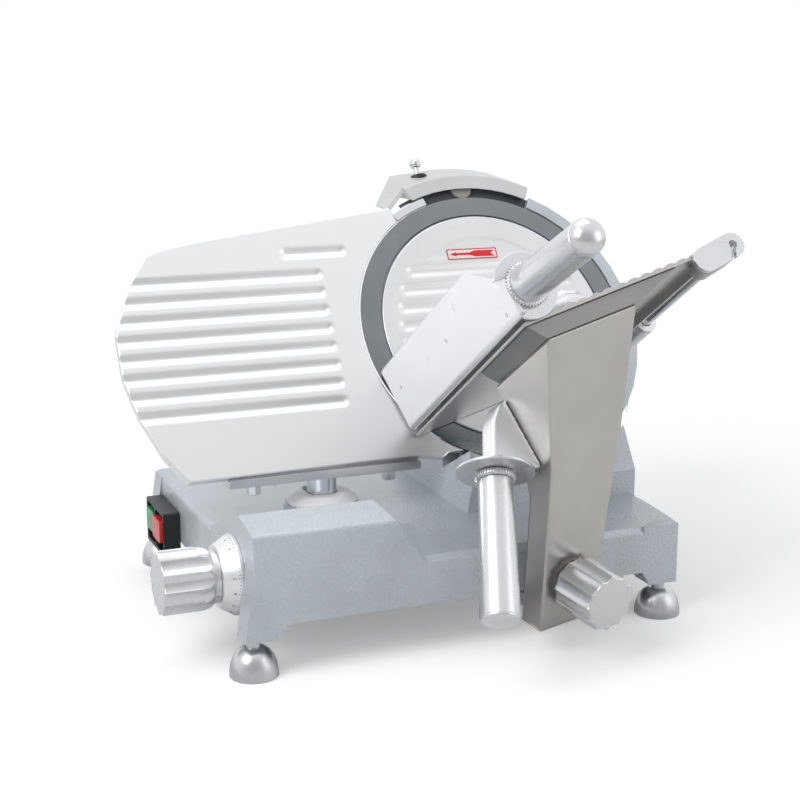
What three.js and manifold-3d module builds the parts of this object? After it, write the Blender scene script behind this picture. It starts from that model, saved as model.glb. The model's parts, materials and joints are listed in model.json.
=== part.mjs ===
// Gravity-feed deli slicer with a 300 mm blade.
// Millimetres. X runs along the carriage travel to the right, Y away from the operator, Z up.
// The origin is the middle of the front left foot's underside.
import * as THREE from "three";
import { mergeVertices } from "three/addons/utils/BufferGeometryUtils.js";
import Module from "manifold-3d";

const wasm = await Module();
wasm.setup();

// Angles and counts that shape the whole machine
const BLADE_TILT = (33 * Math.PI) / 180;
const TRAY_TURN = (16 * Math.PI) / 180;
const ARM_YAW = (11.7 * Math.PI) / 180;
const ARM_LEAN = (7.2 * Math.PI) / 180;
const ROUND_SIDES = 20;
const FINE_SIDES = 40;
const HEX_SIDES = 6;
const CORNER_STEPS = 2;
const DOME_STEPS = 5;
const SWEEP_STEPS = 10;

// Clearances, the depth to which joined bodies run into each other, the overrun that every
// cutting body has past the faces it cuts, and a span longer than any piece
const clear = { seat: 0.3, running: 0.35, slot: 0.6 };
const weld = 1;
const overrun = 20;
const far = 500;

const bladeCentre = { x: 334, y: 200, z: 265 };

// Feet, and how far the casting stands out past the middles of the outer ones
const foot = {
  radius: 22.5, rimHeight: 3, bellRadius: 19, bellHeight: 11, shoulderRadius: 11,
  shoulderHeight: 19, neckRadius: 6.5, neckHeight: 24, spanX: 420, spanY: 340,
};
const beyondFoot = { left: 2, right: 11, front: 16, back: 12 };
const base = {
  left: -beyondFoot.left, right: foot.spanX + beyondFoot.right,
  front: -beyondFoot.front, back: foot.spanY + beyondFoot.back, underside: 50, wall: 5,
  lipTop: 94, deckStart: 69, deckTop: 104, lipRadius: 6, backRadius: 10, endRadius: 8,
};
const leg = {
  bottom: 36, width: 30, depth: 28, gusset: 9, flare: 10, flareTop: 100, pad: 8,
};
const gaugeBox = {
  shoulder: 100, browY: -10, browZ: 133, browRadius: 5, crestY: 34, crestZ: 141, crestRadius: 10,
  backY: 126, endX: 163, endZ: 92,
};
const BOX_END_SLOPE = 0.7;
const pedestal = { left: 242, frontN: 36, topU: -80, backN: -140, recessGap: 2 };
const PEDESTAL_TAPER = 0.2;

const blade = {
  radius: 150, thickness: 4, bevelBack: 14, bevelFront: 9, edge: 0.4, bore: 8.4,
  rimWidth: 22, recessDepth: 1.6, recessRun: 0.8,
};
const recessRadius = blade.radius - blade.rimWidth;
const cover = {
  gap: 1.4, thickness: 2.2, front: 1, edge: 1, grooveDepth: 1.4, groovePitch: 20, grooveHalf: 8,
  grooveTop: 65.3, grooveInset: 12.6, archInset: 22.6, archBottom: 77, archDepth: 0.6,
};
const coverRadius = recessRadius - cover.gap;
const GROOVE_COUNT = 8;
const shaft = { radius: 8, bore: 5.2, flangeRadius: 25, flangeThickness: 5, back: 56 };
const bearing = { outer: 16, width: 7.4, back: 28.4 };
const housing = {
  plateFront: -12, plateThickness: 5, discInset: 12, guardGap: 2.6, guardWidth: 13.4,
  guardFront: -1, lugHalf: 20, wall: 4, keyRadius: 52, keyHalf: 42, depth: 41, bossRadius: 21,
  bossBack: 29,
};
const guardInner = blade.radius + housing.guardGap;
const guardOuter = guardInner + housing.guardWidth;
const GUARD_START = (-105 * Math.PI) / 180;
const DISH_START = (-117 * Math.PI) / 180;
const GUARD_END = (62.5 * Math.PI) / 180;
const pulley = {
  bladeRadius: 30, motorRadius: 15, rim: 3, rimWidth: 3, front: -31, width: 18, centres: 125,
  belt: 3, beltGap: 1, motorBore: 5,
};
const pulleyBack = pulley.front - pulley.width;
const motor = { radius: 37, front: -64, length: 68, saddle: 16, saddleHeight: 20, noseRadius: 16, nose: 6 };
const beltCover = { thickness: 3, rodHole: 6 };
const tie = {
  radius: 4.6, back: 74, knobRadius: 19, knobFront: 63, knobLength: 20, knobFlute: 1.4, knobEdge: 1,
};

const sharpener = {
  gap: 11, height: 16.5, depth: 39, wall: 4, front: -0.5, legReach: 24, legDrop: 24, legThick: 6,
  legStart: 10,
};
const sharpenerInner = blade.radius + sharpener.gap;
const sharpenerOuter = sharpenerInner + sharpener.height;
const SHARPENER_START = (63.6 * Math.PI) / 180;
const SHARPENER_END = (112.6 * Math.PI) / 180;
const button = {
  x: -40, depth: 24, ball: 6.2, stem: 3, stemLength: 16, lift: 8, collar: 10, collarHeight: 2.4,
};
const stone = { radius: 12, thickness: 5, out: 14, n: -10.6, spindle: 3, spindleBack: 1.1 };
const bracket = { gap: 1.8, width: 10.2, back: -12, front: -4.2 };
const BRACKET_START = (107 * Math.PI) / 180;
const BRACKET_END = (123 * Math.PI) / 180;
const lowerGuard = { lap: 9, width: 17, front: -5.5 };
const LOWER_START = (-115.5 * Math.PI) / 180;
const LOWER_END = (-105.6 * Math.PI) / 180;

const plate = {
  left: -403.3, width: 334, bottom: -139.6, height: 281.8, front: -0.3, thickness: 7.7,
  bladeGap: 4.6, grooveDepth: 2.4, groovePitch: 20, grooveHalf: 7.8, grooveTop: 70, grooveEnd: -180,
  shortLeft: -223, shortRight: -149, shortU: 95,
};
// Plate outline from the lower right tip round the left side to the upper right and through the
// blade's circle, as shares of its width and height measured from its lower left corner
const plateOutlineShares = [
  [0.993, 0.017], [0.945, 0.017], [0.938, -0.004], [0.845, 0.016], [0.141, 0.004], [0.083, 0.096],
  [0.027, 0.258], [0, 0.403], [0.0015, 0.562], [0.057, 0.728], [0.127, 0.85],
  [0.176, 0.8745], [0.303, 0.902], [0.9365, 1], [0.943, 0.937], [1, 0.5],
];
const bar = {
  left: 17, right: 217, front: 126, back: 156, bottom: 137.5, top: 150.5, boltLeft: 46,
  boltRight: 188, boltY: 143, boltHead: 7.2, headHeight: 7.5, boltRadius: 4,
};
const column = { x: 117.5, y: 146, radius: 15, bottom: 88 };
const collar = { radius: 36, height: 10, edge: 5, boss: 38, bossTop: 110, slope: 3 };
const gaugeTravel = 15;
const guide = {
  y: 150, z: 69, radius: 5.5, back: -34, front: 45, lug: 7.5, lugHalf: 13, lugBelow: 9, lugFront: 13,
  lugBack: 56, blockBack: -9, blockFront: 19, blockHalf: 22, blockBelow: 11, blockAbove: 12,
  socketRadius: 20, socketBottom: 74, socketTop: 96,
};

const knob = {
  y: 50, z: 80, radius: 30, flute: 3, edge: 1.5, front: -74, back: -20.3, shaft: 6, shaftEnd: 33,
  bore: 36,
};
const KNOB_FLUTES = 12;
const FLUTE_STEPS = 5;
const FLUTE_ROUNDNESS = 0.7;
const dial = { radius: 38, small: 29, back: -2.3, front: -20, rim: 3 };
const scroll = {
  radius: 28, left: 26, right: 40, groove: 5, half: 3.4, first: 8, pin: 3, pinStart: 36.3, boss: 14,
  bossEnd: 20,
};
const SCROLL_TURN = (300 * Math.PI) / 180;
const SCROLL_STEPS = 28;
const SCROLL_RUN_OUT = 1.5;
const follower = { left: 42, right: 50, front: 50, legBack: 62, legBottom: 70, bottom: 90.5, top: 96.5,
  crossFront: 127, crossBack: 136, crossBottom: 84, crossTop: 93, crossEnd: 106 };

const switchBox = {
  front: 248, back: 322, bottom: 34, top: 82, left: -16, wall: 4, divider: 3, well: 9, corner: 3,
  proud: 3, redProud: 5, stem: 7,
};

const rail = { y: 95, z: 62, side: 22 };
const slider = {
  left: 256, right: 316, front: 79, back: 111, bottom: 44, top: 80, liner: 2, beamLeft: 260,
  beamRight: 304, beamBottom: 36, beamTop: 48, uprightHalf: 17, uprightBack: 22, uprightBottom: 10,
  uprightTop: 66,
};
const arm = {
  x: 286, y: -57.7, z: 26, sheet: 3, topLeft: -58.6, topLeftUp: 289.3, kneeLeft: -38, kneeUp: 164.3,
  footLeft: -29.6, footRight: 29.5, footRightUp: 5, shinRight: 34.2, shinUp: 60.5, hipRight: 40,
  hipUp: 189.4, topRight: 40.8, topRightUp: 315.5, footDepth: 28, midDepth: 28, midUp: 125,
  hipDepth: 68, hipDepthUp: 206, topDepth: 112, topDepthUp: 262,
};
const carriageKnob = {
  a: 1.6, c: 46.2, radius: 27, flute: 2.4, edge: 1, length: 48, boss: 21, bossLength: 6, shaft: 5,
  reach: 20,
};
const pin = { a: 40.4, b: 40, c: 262, radius: 4, length: 14 };

const tray = {
  left: -146, right: 62, ribEnd: 42, top: -75, sheet: 3, ridge: 1.6, pitch: 14.2, ridgeWidth: 8.6,
  slope: 1.6, front: 285, back: 3.6, flangeDrop: 12, flangeWall: 3,
  lugRadius: 10.5, lugWidth: 12, lugFront: 262, lugBack: 20,
};
const cradle = {
  leftTop: -143, leftBottom: -131, rightBottom: -27, rightTop: 25, bottom: -96, front: 282, back: 174,
  sheet: 3,
};
const rod = { t: 87, m: -81.5, radius: 5.5, back: 10, front: 285 };
const endBracket = {
  left: 40, thickness: 5, radius: 12, foot: 10, hole: 4.2, slotHalf: 2.6, slotLength: 22,
};
const bush = { wall: 3.4, collarRadius: 11.8, collar: 3.4, back: 44, front: 116 };
const hub = { radius: 12.2 };
const link = { m: -16, n: 62, radius: 7.5, boss: 10, bossEnd: 48, bend: 20 };
const block = {
  left: -149, thickness: 28, bottom: -67.5, top: -1.5, back: 3.6, wall: 4, chamferLong: 46,
  chamferDrop: 31, front: 283, edge: 7, grip: 3, gripPitch: 8, gripBottom: -64, gripTop: -30,
  gripBack: 20, gripFront: 230, gripDepth: 2.4,
};
const pusherGrip = {
  t: -130, m: -48, n: 288.4, guard: 30.5, guardThick: 3, ring: 20.5, ringThick: 5, neck: 17.2,
  tip: 15.6, length: 106, dome: 13,
};
const PUSHER_TIP = (5 * Math.PI) / 180;
const lowerGrip = {
  x: 209.6, y: -60, z: 181.6, guard: 35.7, guardThick: 3, ring: 18.5, ringThick: 7, neck: 15.5,
  tip: 18, length: 128, dome: 6,
};
const gripUpShares = [0.2325, 0.588, 0.775];
const elbow = {
  neck: 10.5, shoulder: 46, shoulderIn: 2.5, shoulderRadius: 20, crown: 70, crownX: 2,
  crownRadius: 10, reach: 60, flare: 26, flareBack: 14, neckRadius: 9, underStart: 12, underRise: 5,
};

// Solids from geometry, and geometry from solids

function solid(geometry) {
  const bare = geometry.clone();
  bare.deleteAttribute("normal");
  bare.deleteAttribute("uv");
  const merged = mergeVertices(bare);
  return new wasm.Manifold(
    new wasm.Mesh({
      numProp: 3,
      vertProperties: merged.attributes.position.array,
      triVerts: new Uint32Array(merged.index.array),
    }),
  );
}

function toGeometry(shape) {
  const mesh = shape.getMesh();
  const geometry = new THREE.BufferGeometry();
  geometry.setAttribute("position", new THREE.BufferAttribute(mesh.vertProperties, 3));
  geometry.setIndex(new THREE.BufferAttribute(mesh.triVerts, 1));
  geometry.computeVertexNormals();
  return geometry;
}

function join(...geometries) {
  return geometries.map(solid).reduce((all, next) => all.add(next));
}

function cut(body, ...tools) {
  return tools.map(solid).reduce((left, tool) => left.subtract(tool), body);
}

// A bore whose flats, not its corners, clear a round body of the given radius
function boreRadius(radius, gap, sides = ROUND_SIDES) {
  return (radius + gap) / Math.cos(Math.PI / sides);
}

// A closed outline from corners [a, b] or [a, b, radius], with its corners rounded
function outline(corners) {
  const shape = new THREE.Shape();
  corners.forEach(([a, b, radius], i) => {
    const here = new THREE.Vector2(a, b);
    if (!radius) {
      if (i) shape.lineTo(a, b);
      else shape.moveTo(a, b);
      return;
    }
    const last = corners[(i + corners.length - 1) % corners.length];
    const next = corners[(i + 1) % corners.length];
    const back = new THREE.Vector2(last[0], last[1]).sub(here).normalize();
    const ahead = new THREE.Vector2(next[0], next[1]).sub(here).normalize();
    const half = Math.acos(back.dot(ahead)) / 2;
    const middle = back.clone().add(ahead).normalize().multiplyScalar(radius / Math.sin(half)).add(here);
    const start = back.multiplyScalar(radius / Math.tan(half)).add(here);
    const turn = ahead.multiplyScalar(radius / Math.tan(half)).add(here);
    if (i) shape.lineTo(start.x, start.y);
    else shape.moveTo(start.x, start.y);
    const clockwise = start.clone().sub(here).cross(turn.clone().sub(here)) > 0;
    shape.absarc(
      middle.x, middle.y, radius, start.clone().sub(middle).angle(),
      turn.clone().sub(middle).angle(), clockwise,
    );
  });
  shape.closePath();
  return shape;
}

function extruded(shape, from, to, steps = CORNER_STEPS) {
  const geometry = new THREE.ExtrudeGeometry(shape, {
    depth: to - from, bevelEnabled: false, curveSegments: steps,
  });
  return geometry.translate(0, 0, from);
}

const axisX = new THREE.Vector3(1, 0, 0);
const axisY = new THREE.Vector3(0, 1, 0);
const axisZ = new THREE.Vector3(0, 0, 1);
const turnToX = new THREE.Matrix4().makeBasis(axisY, axisZ, axisX);
const turnToY = new THREE.Matrix4().makeBasis(axisX, axisZ, axisY.clone().negate());

// Prisms: along Z from an outline in X and Y, along X from one in Y and Z, along Y from one in X and Z
const prismZ = (corners, from, to) => extruded(outline(corners), from, to);
const prismX = (corners, from, to) => prismZ(corners, from, to).applyMatrix4(turnToX);
const prismY = (corners, from, to) => prismZ(corners, -to, -from).applyMatrix4(turnToY);

function block3(x0, x1, y0, y1, z0, z1) {
  const geometry = new THREE.BoxGeometry(x1 - x0, y1 - y0, z1 - z0);
  return geometry.translate((x0 + x1) / 2, (y0 + y1) / 2, (z0 + z1) / 2);
}

// A cylinder or cone along Z between two heights
function round(radius, from, to, sides = ROUND_SIDES, endRadius = radius) {
  const geometry = new THREE.CylinderGeometry(endRadius, radius, to - from, sides);
  return geometry.rotateX(Math.PI / 2).translate(0, 0, (from + to) / 2);
}

const roundX = (radius, from, to, sides) => round(radius, from, to, sides).applyMatrix4(turnToX);

// A revolved body about Z from points [radius, height], listed upwards along the outside
function revolved(points, sides = ROUND_SIDES) {
  const profile = points.map(([radius, height]) => new THREE.Vector2(radius, height));
  return new THREE.LatheGeometry(profile, sides).rotateX(Math.PI / 2);
}

function sector(inner, outer, start, end, from, to, steps) {
  const shape = new THREE.Shape();
  shape.absarc(0, 0, outer, start, end, false);
  shape.absarc(0, 0, inner, end, start, true);
  shape.closePath();
  return extruded(shape, from, to, steps);
}

// A long rounded bar in the XY plane from one centre to another
function slotShape(x0, y0, x1, y1, half) {
  const along = Math.atan2(y1 - y0, x1 - x0);
  const quarter = Math.PI / 2;
  const shape = new THREE.Shape();
  shape.absarc(x0, y0, half, along + quarter, along + 3 * quarter, false);
  shape.absarc(x1, y1, half, along - quarter, along + quarter, false);
  shape.closePath();
  return shape;
}

// The body that presses a groove into a face at height 0 and leans in to its floor all round
function groove(x0, x1, y, half, depth, face) {
  const geometry = new THREE.ExtrudeGeometry(slotShape(x0 + half, y, x1 - half, y, half - depth), {
    depth, bevelEnabled: true, bevelSegments: 1, bevelThickness: depth, bevelSize: depth,
    curveSegments: CORNER_STEPS,
  });
  return geometry.translate(0, 0, face);
}

// A fluted grip about Z: shallow rounded hollows between narrow lands
function fluted(radius, depth, count, from, to, bevel) {
  const shape = new THREE.Shape();
  const steps = FLUTE_STEPS;
  for (let i = 0; i < count * steps; i += 1) {
    const angle = (i * 2 * Math.PI) / (count * steps);
    const hollow = Math.sin((Math.PI * (i % steps)) / steps) ** FLUTE_ROUNDNESS;
    const reach = radius - bevel - depth * hollow;
    if (i) shape.lineTo(reach * Math.cos(angle), reach * Math.sin(angle));
    else shape.moveTo(reach, 0);
  }
  shape.closePath();
  const geometry = new THREE.ExtrudeGeometry(shape, {
    depth: to - from - 2 * bevel, bevelEnabled: true, bevelSegments: 1, bevelThickness: bevel,
    bevelSize: bevel,
  });
  return geometry.translate(0, 0, from + bevel);
}

const finish = (color, roughness, metalness) =>
  new THREE.MeshStandardMaterial({ color, roughness, metalness });

function piece(name, shape, material, parent) {
  const geometry = shape.isBufferGeometry ? shape : toGeometry(shape);
  const mesh = new THREE.Mesh(geometry, material);
  mesh.name = name;
  parent.add(mesh);
  return mesh;
}

// Frames. The blade frame has X along the machine, Y up the blade face and Z out of it.
const machine = new THREE.Group();

function frame(parent, x, y, z, turn = {}) {
  const group = new THREE.Group();
  group.position.set(x, y, z);
  group.rotation.set(turn.x || 0, turn.y || 0, turn.z || 0, "ZXY");
  parent.add(group);
  group.updateMatrix();
  return group;
}

const bladeTurn = { x: Math.PI / 2 - BLADE_TILT };
const bladeFrame = frame(machine, bladeCentre.x, bladeCentre.y, bladeCentre.z, bladeTurn);
const trayFrame = frame(bladeFrame, 0, 0, 0, { z: TRAY_TURN });
const armFrame = frame(machine, arm.x, arm.y, arm.z, { z: ARM_YAW, x: ARM_LEAN });
const guideFrame = frame(machine, column.x, guide.y, guide.z, bladeTurn);
const trayMatrix = new THREE.Matrix4().multiplyMatrices(bladeFrame.matrix, trayFrame.matrix);
const toArm = new THREE.Matrix4().copy(armFrame.matrix).invert();
const trayToArm = new THREE.Matrix4().multiplyMatrices(toArm, trayMatrix);

// Y and Z of a point u up the blade face and n out of it
function bladePoint(u, n) {
  const sine = Math.sin(BLADE_TILT);
  const cosine = Math.cos(BLADE_TILT);
  return [bladeCentre.y + u * sine - n * cosine, bladeCentre.z + u * cosine + n * sine];
}

// Base casting

// Floor of the round recess in the pedestal, which the gauge plate moves into when it opens
const recessN = plate.front - plate.thickness - gaugeTravel - clear.slot;

function deckForm(inset, floor) {
  const low = base.deckTop - inset;
  const side = prismX(
    [
      [base.front + inset, floor], [base.back - inset, floor],
      [base.back - inset, low, base.backRadius - inset], [base.deckStart, low],
      [base.front + inset, base.lipTop - inset, base.lipRadius - inset],
    ],
    base.left + inset, base.right - inset,
  );
  const face = prismY(
    [
      [base.left + inset, floor], [base.right - inset, floor],
      [base.right - inset, low, base.endRadius - inset], [base.left + inset, low, base.endRadius - inset],
    ],
    base.front - overrun, base.back + overrun,
  );
  return solid(side).intersect(solid(face));
}

function gaugeBoxForm(inset, floor) {
  const endAt = (z) => gaugeBox.endX - inset - BOX_END_SLOPE * (z - gaugeBox.endZ);
  const top = gaugeBox.crestZ + overrun;
  const side = prismX(
    [
      [base.front + inset, floor], [base.front + inset, gaugeBox.shoulder],
      [gaugeBox.browY + inset, gaugeBox.browZ - inset, gaugeBox.browRadius],
      [gaugeBox.crestY, gaugeBox.crestZ - inset, gaugeBox.crestRadius],
      [gaugeBox.backY, base.deckTop - inset], [gaugeBox.backY, floor],
    ],
    base.left + inset, gaugeBox.endX + overrun + overrun,
  );
  const face = prismY(
    [[base.left + inset, floor], [endAt(floor), floor], [endAt(top), top], [base.left + inset, top]],
    base.front - overrun, gaugeBox.backY + overrun,
  );
  return solid(side).intersect(solid(face));
}

function pedestalForm(inset, floor) {
  const frontY = base.deckStart + inset;
  const n = pedestal.frontN - inset;
  const creaseU = (frontY - bladeCentre.y + n * Math.cos(BLADE_TILT)) / Math.sin(BLADE_TILT);
  const backTop = bladePoint(pedestal.topU - inset, pedestal.backN + inset);
  const frontTop = bladePoint(pedestal.topU - inset, n);
  const leftAt = (z) => pedestal.left + inset + PEDESTAL_TAPER * (z - base.deckTop);
  const top = frontTop[1] + overrun;
  const side = prismX(
    [[frontY, floor], [backTop[0], floor], backTop, frontTop, bladePoint(creaseU, n)],
    pedestal.left - overrun, base.right - inset,
  );
  const face = prismY(
    [
      [leftAt(base.deckTop), floor], [base.right - inset, floor], [base.right - inset, top],
      [leftAt(top), top], [leftAt(base.deckTop), base.deckTop],
    ],
    base.deckStart - overrun, base.back,
  );
  const recess = round(
    guardOuter + pedestal.recessGap + inset, recessN - inset, pedestal.frontN + overrun, FINE_SIDES,
  );
  return cut(solid(side).intersect(solid(face)), recess.applyMatrix4(bladeFrame.matrix));
}

function legForm(atRight, atBack, top) {
  const outer = atRight ? base.right : base.left - leg.flare;
  const inner = atRight ? base.right - leg.width : base.left + leg.width - leg.gusset;
  const flareFoot = atRight ? base.right : base.left;
  const gussetX = atRight ? inner - leg.gusset : inner + leg.gusset;
  const front = atBack ? base.back - leg.depth : base.front;
  const form = prismY(
    [
      [outer, leg.bottom], [inner, leg.bottom], [gussetX, base.underside],
      [gussetX, leg.flareTop], [flareFoot, leg.flareTop],
    ],
    front, front + leg.depth,
  );
  const below = block3(
    base.left - overrun, base.right + overrun, base.front - overrun, base.back + overrun,
    leg.bottom - overrun, top,
  );
  return solid(form).intersect(solid(below));
}

const corners = [[false, false], [true, false], [false, true], [true, true]];

function columnSlot(from, to, half) {
  const shape = slotShape(column.x, column.y, column.x, column.y + gaugeTravel * Math.cos(BLADE_TILT), half);
  return extruded(shape, from, to, ROUND_SIDES / 4);
}

// Keyhole outline of the belt guard: a round head on a straight stem that stands on the pedestal
function keyShape(inset, low) {
  const half = housing.keyHalf - inset;
  const head = housing.keyRadius - inset;
  const start = -Math.acos(half / head);
  const shape = new THREE.Shape();
  shape.absarc(0, 0, head, start, Math.PI - start, false);
  shape.lineTo(-half, low);
  shape.lineTo(half, low);
  shape.closePath();
  return shape;
}

function buildBase() {
  const floor = leg.bottom - overrun;
  const outer = deckForm(0, base.underside)
    .add(gaugeBoxForm(0, base.underside))
    .add(pedestalForm(0, base.underside))
    .add(solid(
      round(collar.boss, base.underside, collar.bossTop, FINE_SIDES).translate(column.x, column.y, 0),
    ));
  const inner = deckForm(base.wall, floor)
    .add(gaugeBoxForm(base.wall, floor))
    .add(pedestalForm(base.wall, floor));
  let casting = corners.reduce((all, [right, back]) => all.add(legForm(right, back, leg.flareTop)), outer);
  casting = casting.subtract(inner);
  casting = corners.reduce(
    (all, [right, back]) => all.add(legForm(right, back, leg.bottom + leg.pad)), casting,
  );
  const lugs = [
    [guide.front - guide.lug, guide.lugFront], [guide.back, guide.lugBack],
  ].map(([from, reach]) =>
    block3(-guide.lugHalf, guide.lugHalf, -guide.lugBelow, reach, from, from + guide.lug)
      .applyMatrix4(guideFrame.matrix));
  const shaftBoss = roundX(scroll.boss, base.left + weld, scroll.bossEnd).translate(0, knob.y, knob.z);
  const saddleTop = pedestal.topU - base.wall / 2;
  const saddles = [motor.front - 2 * motor.saddle, motor.front - motor.length + motor.saddle].map((from) =>
    block3(-motor.radius, motor.radius, saddleTop - motor.saddleHeight, saddleTop, from, from + motor.saddle)
      .applyMatrix4(bladeFrame.matrix));
  casting = [...lugs, shaftBoss, ...saddles].map(solid).reduce((all, next) => all.add(next), casting);
  const beltHalf = pulley.bladeRadius;
  return cut(
    casting,
    columnSlot(base.deckTop - overrun, collar.bossTop + overrun, column.radius + clear.slot),
    round(collar.radius + clear.slot, collar.bossTop, collar.bossTop + overrun, FINE_SIDES)
      .translate(column.x, column.y, 0),
    round(boreRadius(guide.radius, clear.seat), guide.back - weld, guide.front - clear.seat)
      .applyMatrix4(guideFrame.matrix),
    roundX(boreRadius(knob.shaft, clear.running), base.left - overrun, scroll.bossEnd + overrun)
      .translate(0, knob.y, knob.z),
    roundX(dial.radius + clear.slot, base.left - overrun, base.left).translate(0, knob.y, knob.z),
    round(boreRadius(motor.radius, clear.seat, FINE_SIDES), motor.front - motor.length - overrun,
      motor.front + overrun / 2, FINE_SIDES)
      .translate(0, -pulley.centres, 0).applyMatrix4(bladeFrame.matrix),
    block3(-beltHalf, beltHalf, pedestal.topU - base.wall - weld, pedestal.topU + weld,
      pulleyBack - pulley.rim, pulley.front + pulley.rim)
      .applyMatrix4(bladeFrame.matrix),
  );
}

const hammertone = finish(0xb5bec6, 0.5, 0.35);
const chrome = finish(0xd8dadc, 0.15, 1);
const steel = finish(0xb9bab8, 0.35, 0.9);
const brushed = finish(0xb3afa3, 0.4, 0.85);
const aluminium = finish(0xd9dcde, 0.35, 0.6);
const castAluminium = finish(0xc9cdd0, 0.55, 0.5);
const white = finish(0xe9eaea, 0.4, 0.1);
const black = finish(0x17181a, 0.5, 0);

piece("base_casting", buildBase(), hammertone, machine);

const footProfile = [
  [0, 0], [foot.radius, 0], [foot.radius, foot.rimHeight], [foot.bellRadius, foot.bellHeight],
  [foot.shoulderRadius, foot.shoulderHeight], [foot.neckRadius, foot.neckHeight],
  [foot.neckRadius, leg.bottom - clear.seat], [0, leg.bottom - clear.seat],
];
const footNames = ["foot_front_left", "foot_front_right", "foot_back_left", "foot_back_right"];
corners.forEach(([right, back], i) => {
  const mesh = piece(footNames[i], revolved(footProfile), chrome, machine);
  mesh.position.set(right ? foot.spanX : 0, back ? foot.spanY : 0, 0);
});

const railHalf = rail.side / 2;
const railEnd = base.wall + clear.seat;
piece(
  "carriage_rail",
  block3(base.left + railEnd, base.right - railEnd, rail.y - railHalf, rail.y + railHalf,
    rail.z - railHalf, rail.z + railHalf),
  steel, machine,
);

// Dome collar round the gauge column
const collarBottom = collar.bossTop + clear.seat;
piece(
  "column_collar",
  cut(
    solid(revolved([
      [0, collarBottom], [collar.radius, collarBottom], [collar.radius, collarBottom + collar.slope],
      [collar.radius - collar.edge, collarBottom + collar.height - collar.slope],
      [collar.radius - 2 * collar.edge, collarBottom + collar.height], [0, collarBottom + collar.height],
    ]).translate(column.x, column.y, 0)),
    columnSlot(collarBottom - overrun, collarBottom + collar.height + overrun, column.radius + clear.slot),
  ),
  white, machine,
);

piece("gauge_guide_rod", round(guide.radius, guide.back, guide.front - 2 * clear.seat), steel, guideFrame);

// Switch housing with two wells on the left end wall
const switchRight = base.left - clear.seat;
const wellSpan = (switchBox.back - switchBox.front - 2 * switchBox.wall - switchBox.divider) / 2;
const wells = [0, 1].map((i) => switchBox.front + switchBox.wall + i * (wellSpan + switchBox.divider));

function wellBlock(from, inset, x0, x1) {
  const low = switchBox.bottom + switchBox.wall + inset;
  const high = switchBox.top - switchBox.wall - inset;
  return prismX(
    [
      [from + inset, low, switchBox.corner], [from + wellSpan - inset, low, switchBox.corner],
      [from + wellSpan - inset, high, switchBox.corner], [from + inset, high, switchBox.corner],
    ],
    x0, x1,
  );
}

piece(
  "switch_housing",
  cut(
    solid(prismX(
      [
        [switchBox.front, switchBox.bottom, switchBox.corner],
        [switchBox.back, switchBox.bottom, switchBox.corner],
        [switchBox.back, switchBox.top, switchBox.corner],
        [switchBox.front, switchBox.top, switchBox.corner],
      ],
      switchBox.left, switchRight,
    )),
    ...wells.map((from) => wellBlock(from, 0, switchBox.left - overrun, switchBox.left + switchBox.well)),
  ),
  black, machine,
);
[["stop_button", 0, 0xc8242c, switchBox.redProud], ["start_button", 1, 0x1f8f4a, switchBox.proud]].forEach(
  ([name, i, color, proud]) => {
    piece(
      name,
      wellBlock(wells[i], clear.slot, switchBox.left - proud, switchBox.left - proud + switchBox.stem),
      finish(color, 0.35, 0), machine,
    );
  },
);

// Blade, cover disc and drive

piece(
  "blade",
  revolved([
    [blade.bore, -blade.thickness], [blade.radius - blade.bevelBack, -blade.thickness],
    [blade.radius, -3 * blade.edge], [blade.radius, -2 * blade.edge],
    [blade.radius - blade.bevelFront, 0], [recessRadius + blade.recessRun, 0],
    [recessRadius, -blade.recessDepth], [blade.bore, -blade.recessDepth],
    [blade.bore, -blade.thickness],
  ], FINE_SIDES),
  finish(0x7d8388, 0.3, 0.95), bladeFrame,
);

function buildCover() {
  const back = cover.front - cover.thickness;
  const disc = solid(revolved([
    [0, back], [coverRadius, back], [coverRadius, cover.front - cover.edge],
    [coverRadius - cover.edge, cover.front], [0, cover.front],
  ], FINE_SIDES));
  const archRadius = coverRadius - cover.archInset;
  const archStart = Math.asin(cover.archBottom / archRadius);
  const arch = new THREE.Shape();
  arch.absarc(0, 0, archRadius, archStart, Math.PI - archStart, false);
  arch.closePath();
  const pocket = extruded(arch, cover.front - cover.archDepth, cover.front + overrun, CORNER_STEPS * 3);
  const grooves = Array.from({ length: GROOVE_COUNT }, (_, i) => {
    const u = cover.grooveTop - i * cover.groovePitch;
    const reach = Math.sqrt((coverRadius - cover.grooveInset) ** 2 - u ** 2);
    return groove(-reach, reach, u, cover.grooveHalf, cover.grooveDepth, cover.front);
  });
  const rod = solid(round(tie.radius, -tie.back, back + weld, ROUND_SIDES / 2));
  return cut(disc, pocket, ...grooves).add(rod);
}

piece("blade_cover", buildCover(), aluminium, bladeFrame);

const shaftFront = -blade.recessDepth - clear.seat;
const flangeFront = -blade.thickness - clear.seat;
piece(
  "blade_shaft",
  revolved([
    [shaft.bore, -shaft.back], [shaft.radius, -shaft.back],
    [shaft.radius, flangeFront - shaft.flangeThickness],
    [shaft.flangeRadius, flangeFront - shaft.flangeThickness], [shaft.flangeRadius, flangeFront],
    [shaft.radius, flangeFront], [shaft.radius, shaftFront], [shaft.bore, shaftFront],
    [shaft.bore, -shaft.back],
  ]),
  steel, bladeFrame,
);

const shaftBore = boreRadius(shaft.radius, clear.seat);

function pulleyProfile(radius, bore) {
  const rim = radius + pulley.rim;
  return [
    [bore, pulleyBack], [rim, pulleyBack], [rim, pulleyBack + pulley.rimWidth],
    [radius, pulleyBack + pulley.rimWidth], [radius, pulley.front - pulley.rimWidth],
    [rim, pulley.front - pulley.rimWidth], [rim, pulley.front], [bore, pulley.front],
    [bore, pulleyBack],
  ];
}

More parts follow.
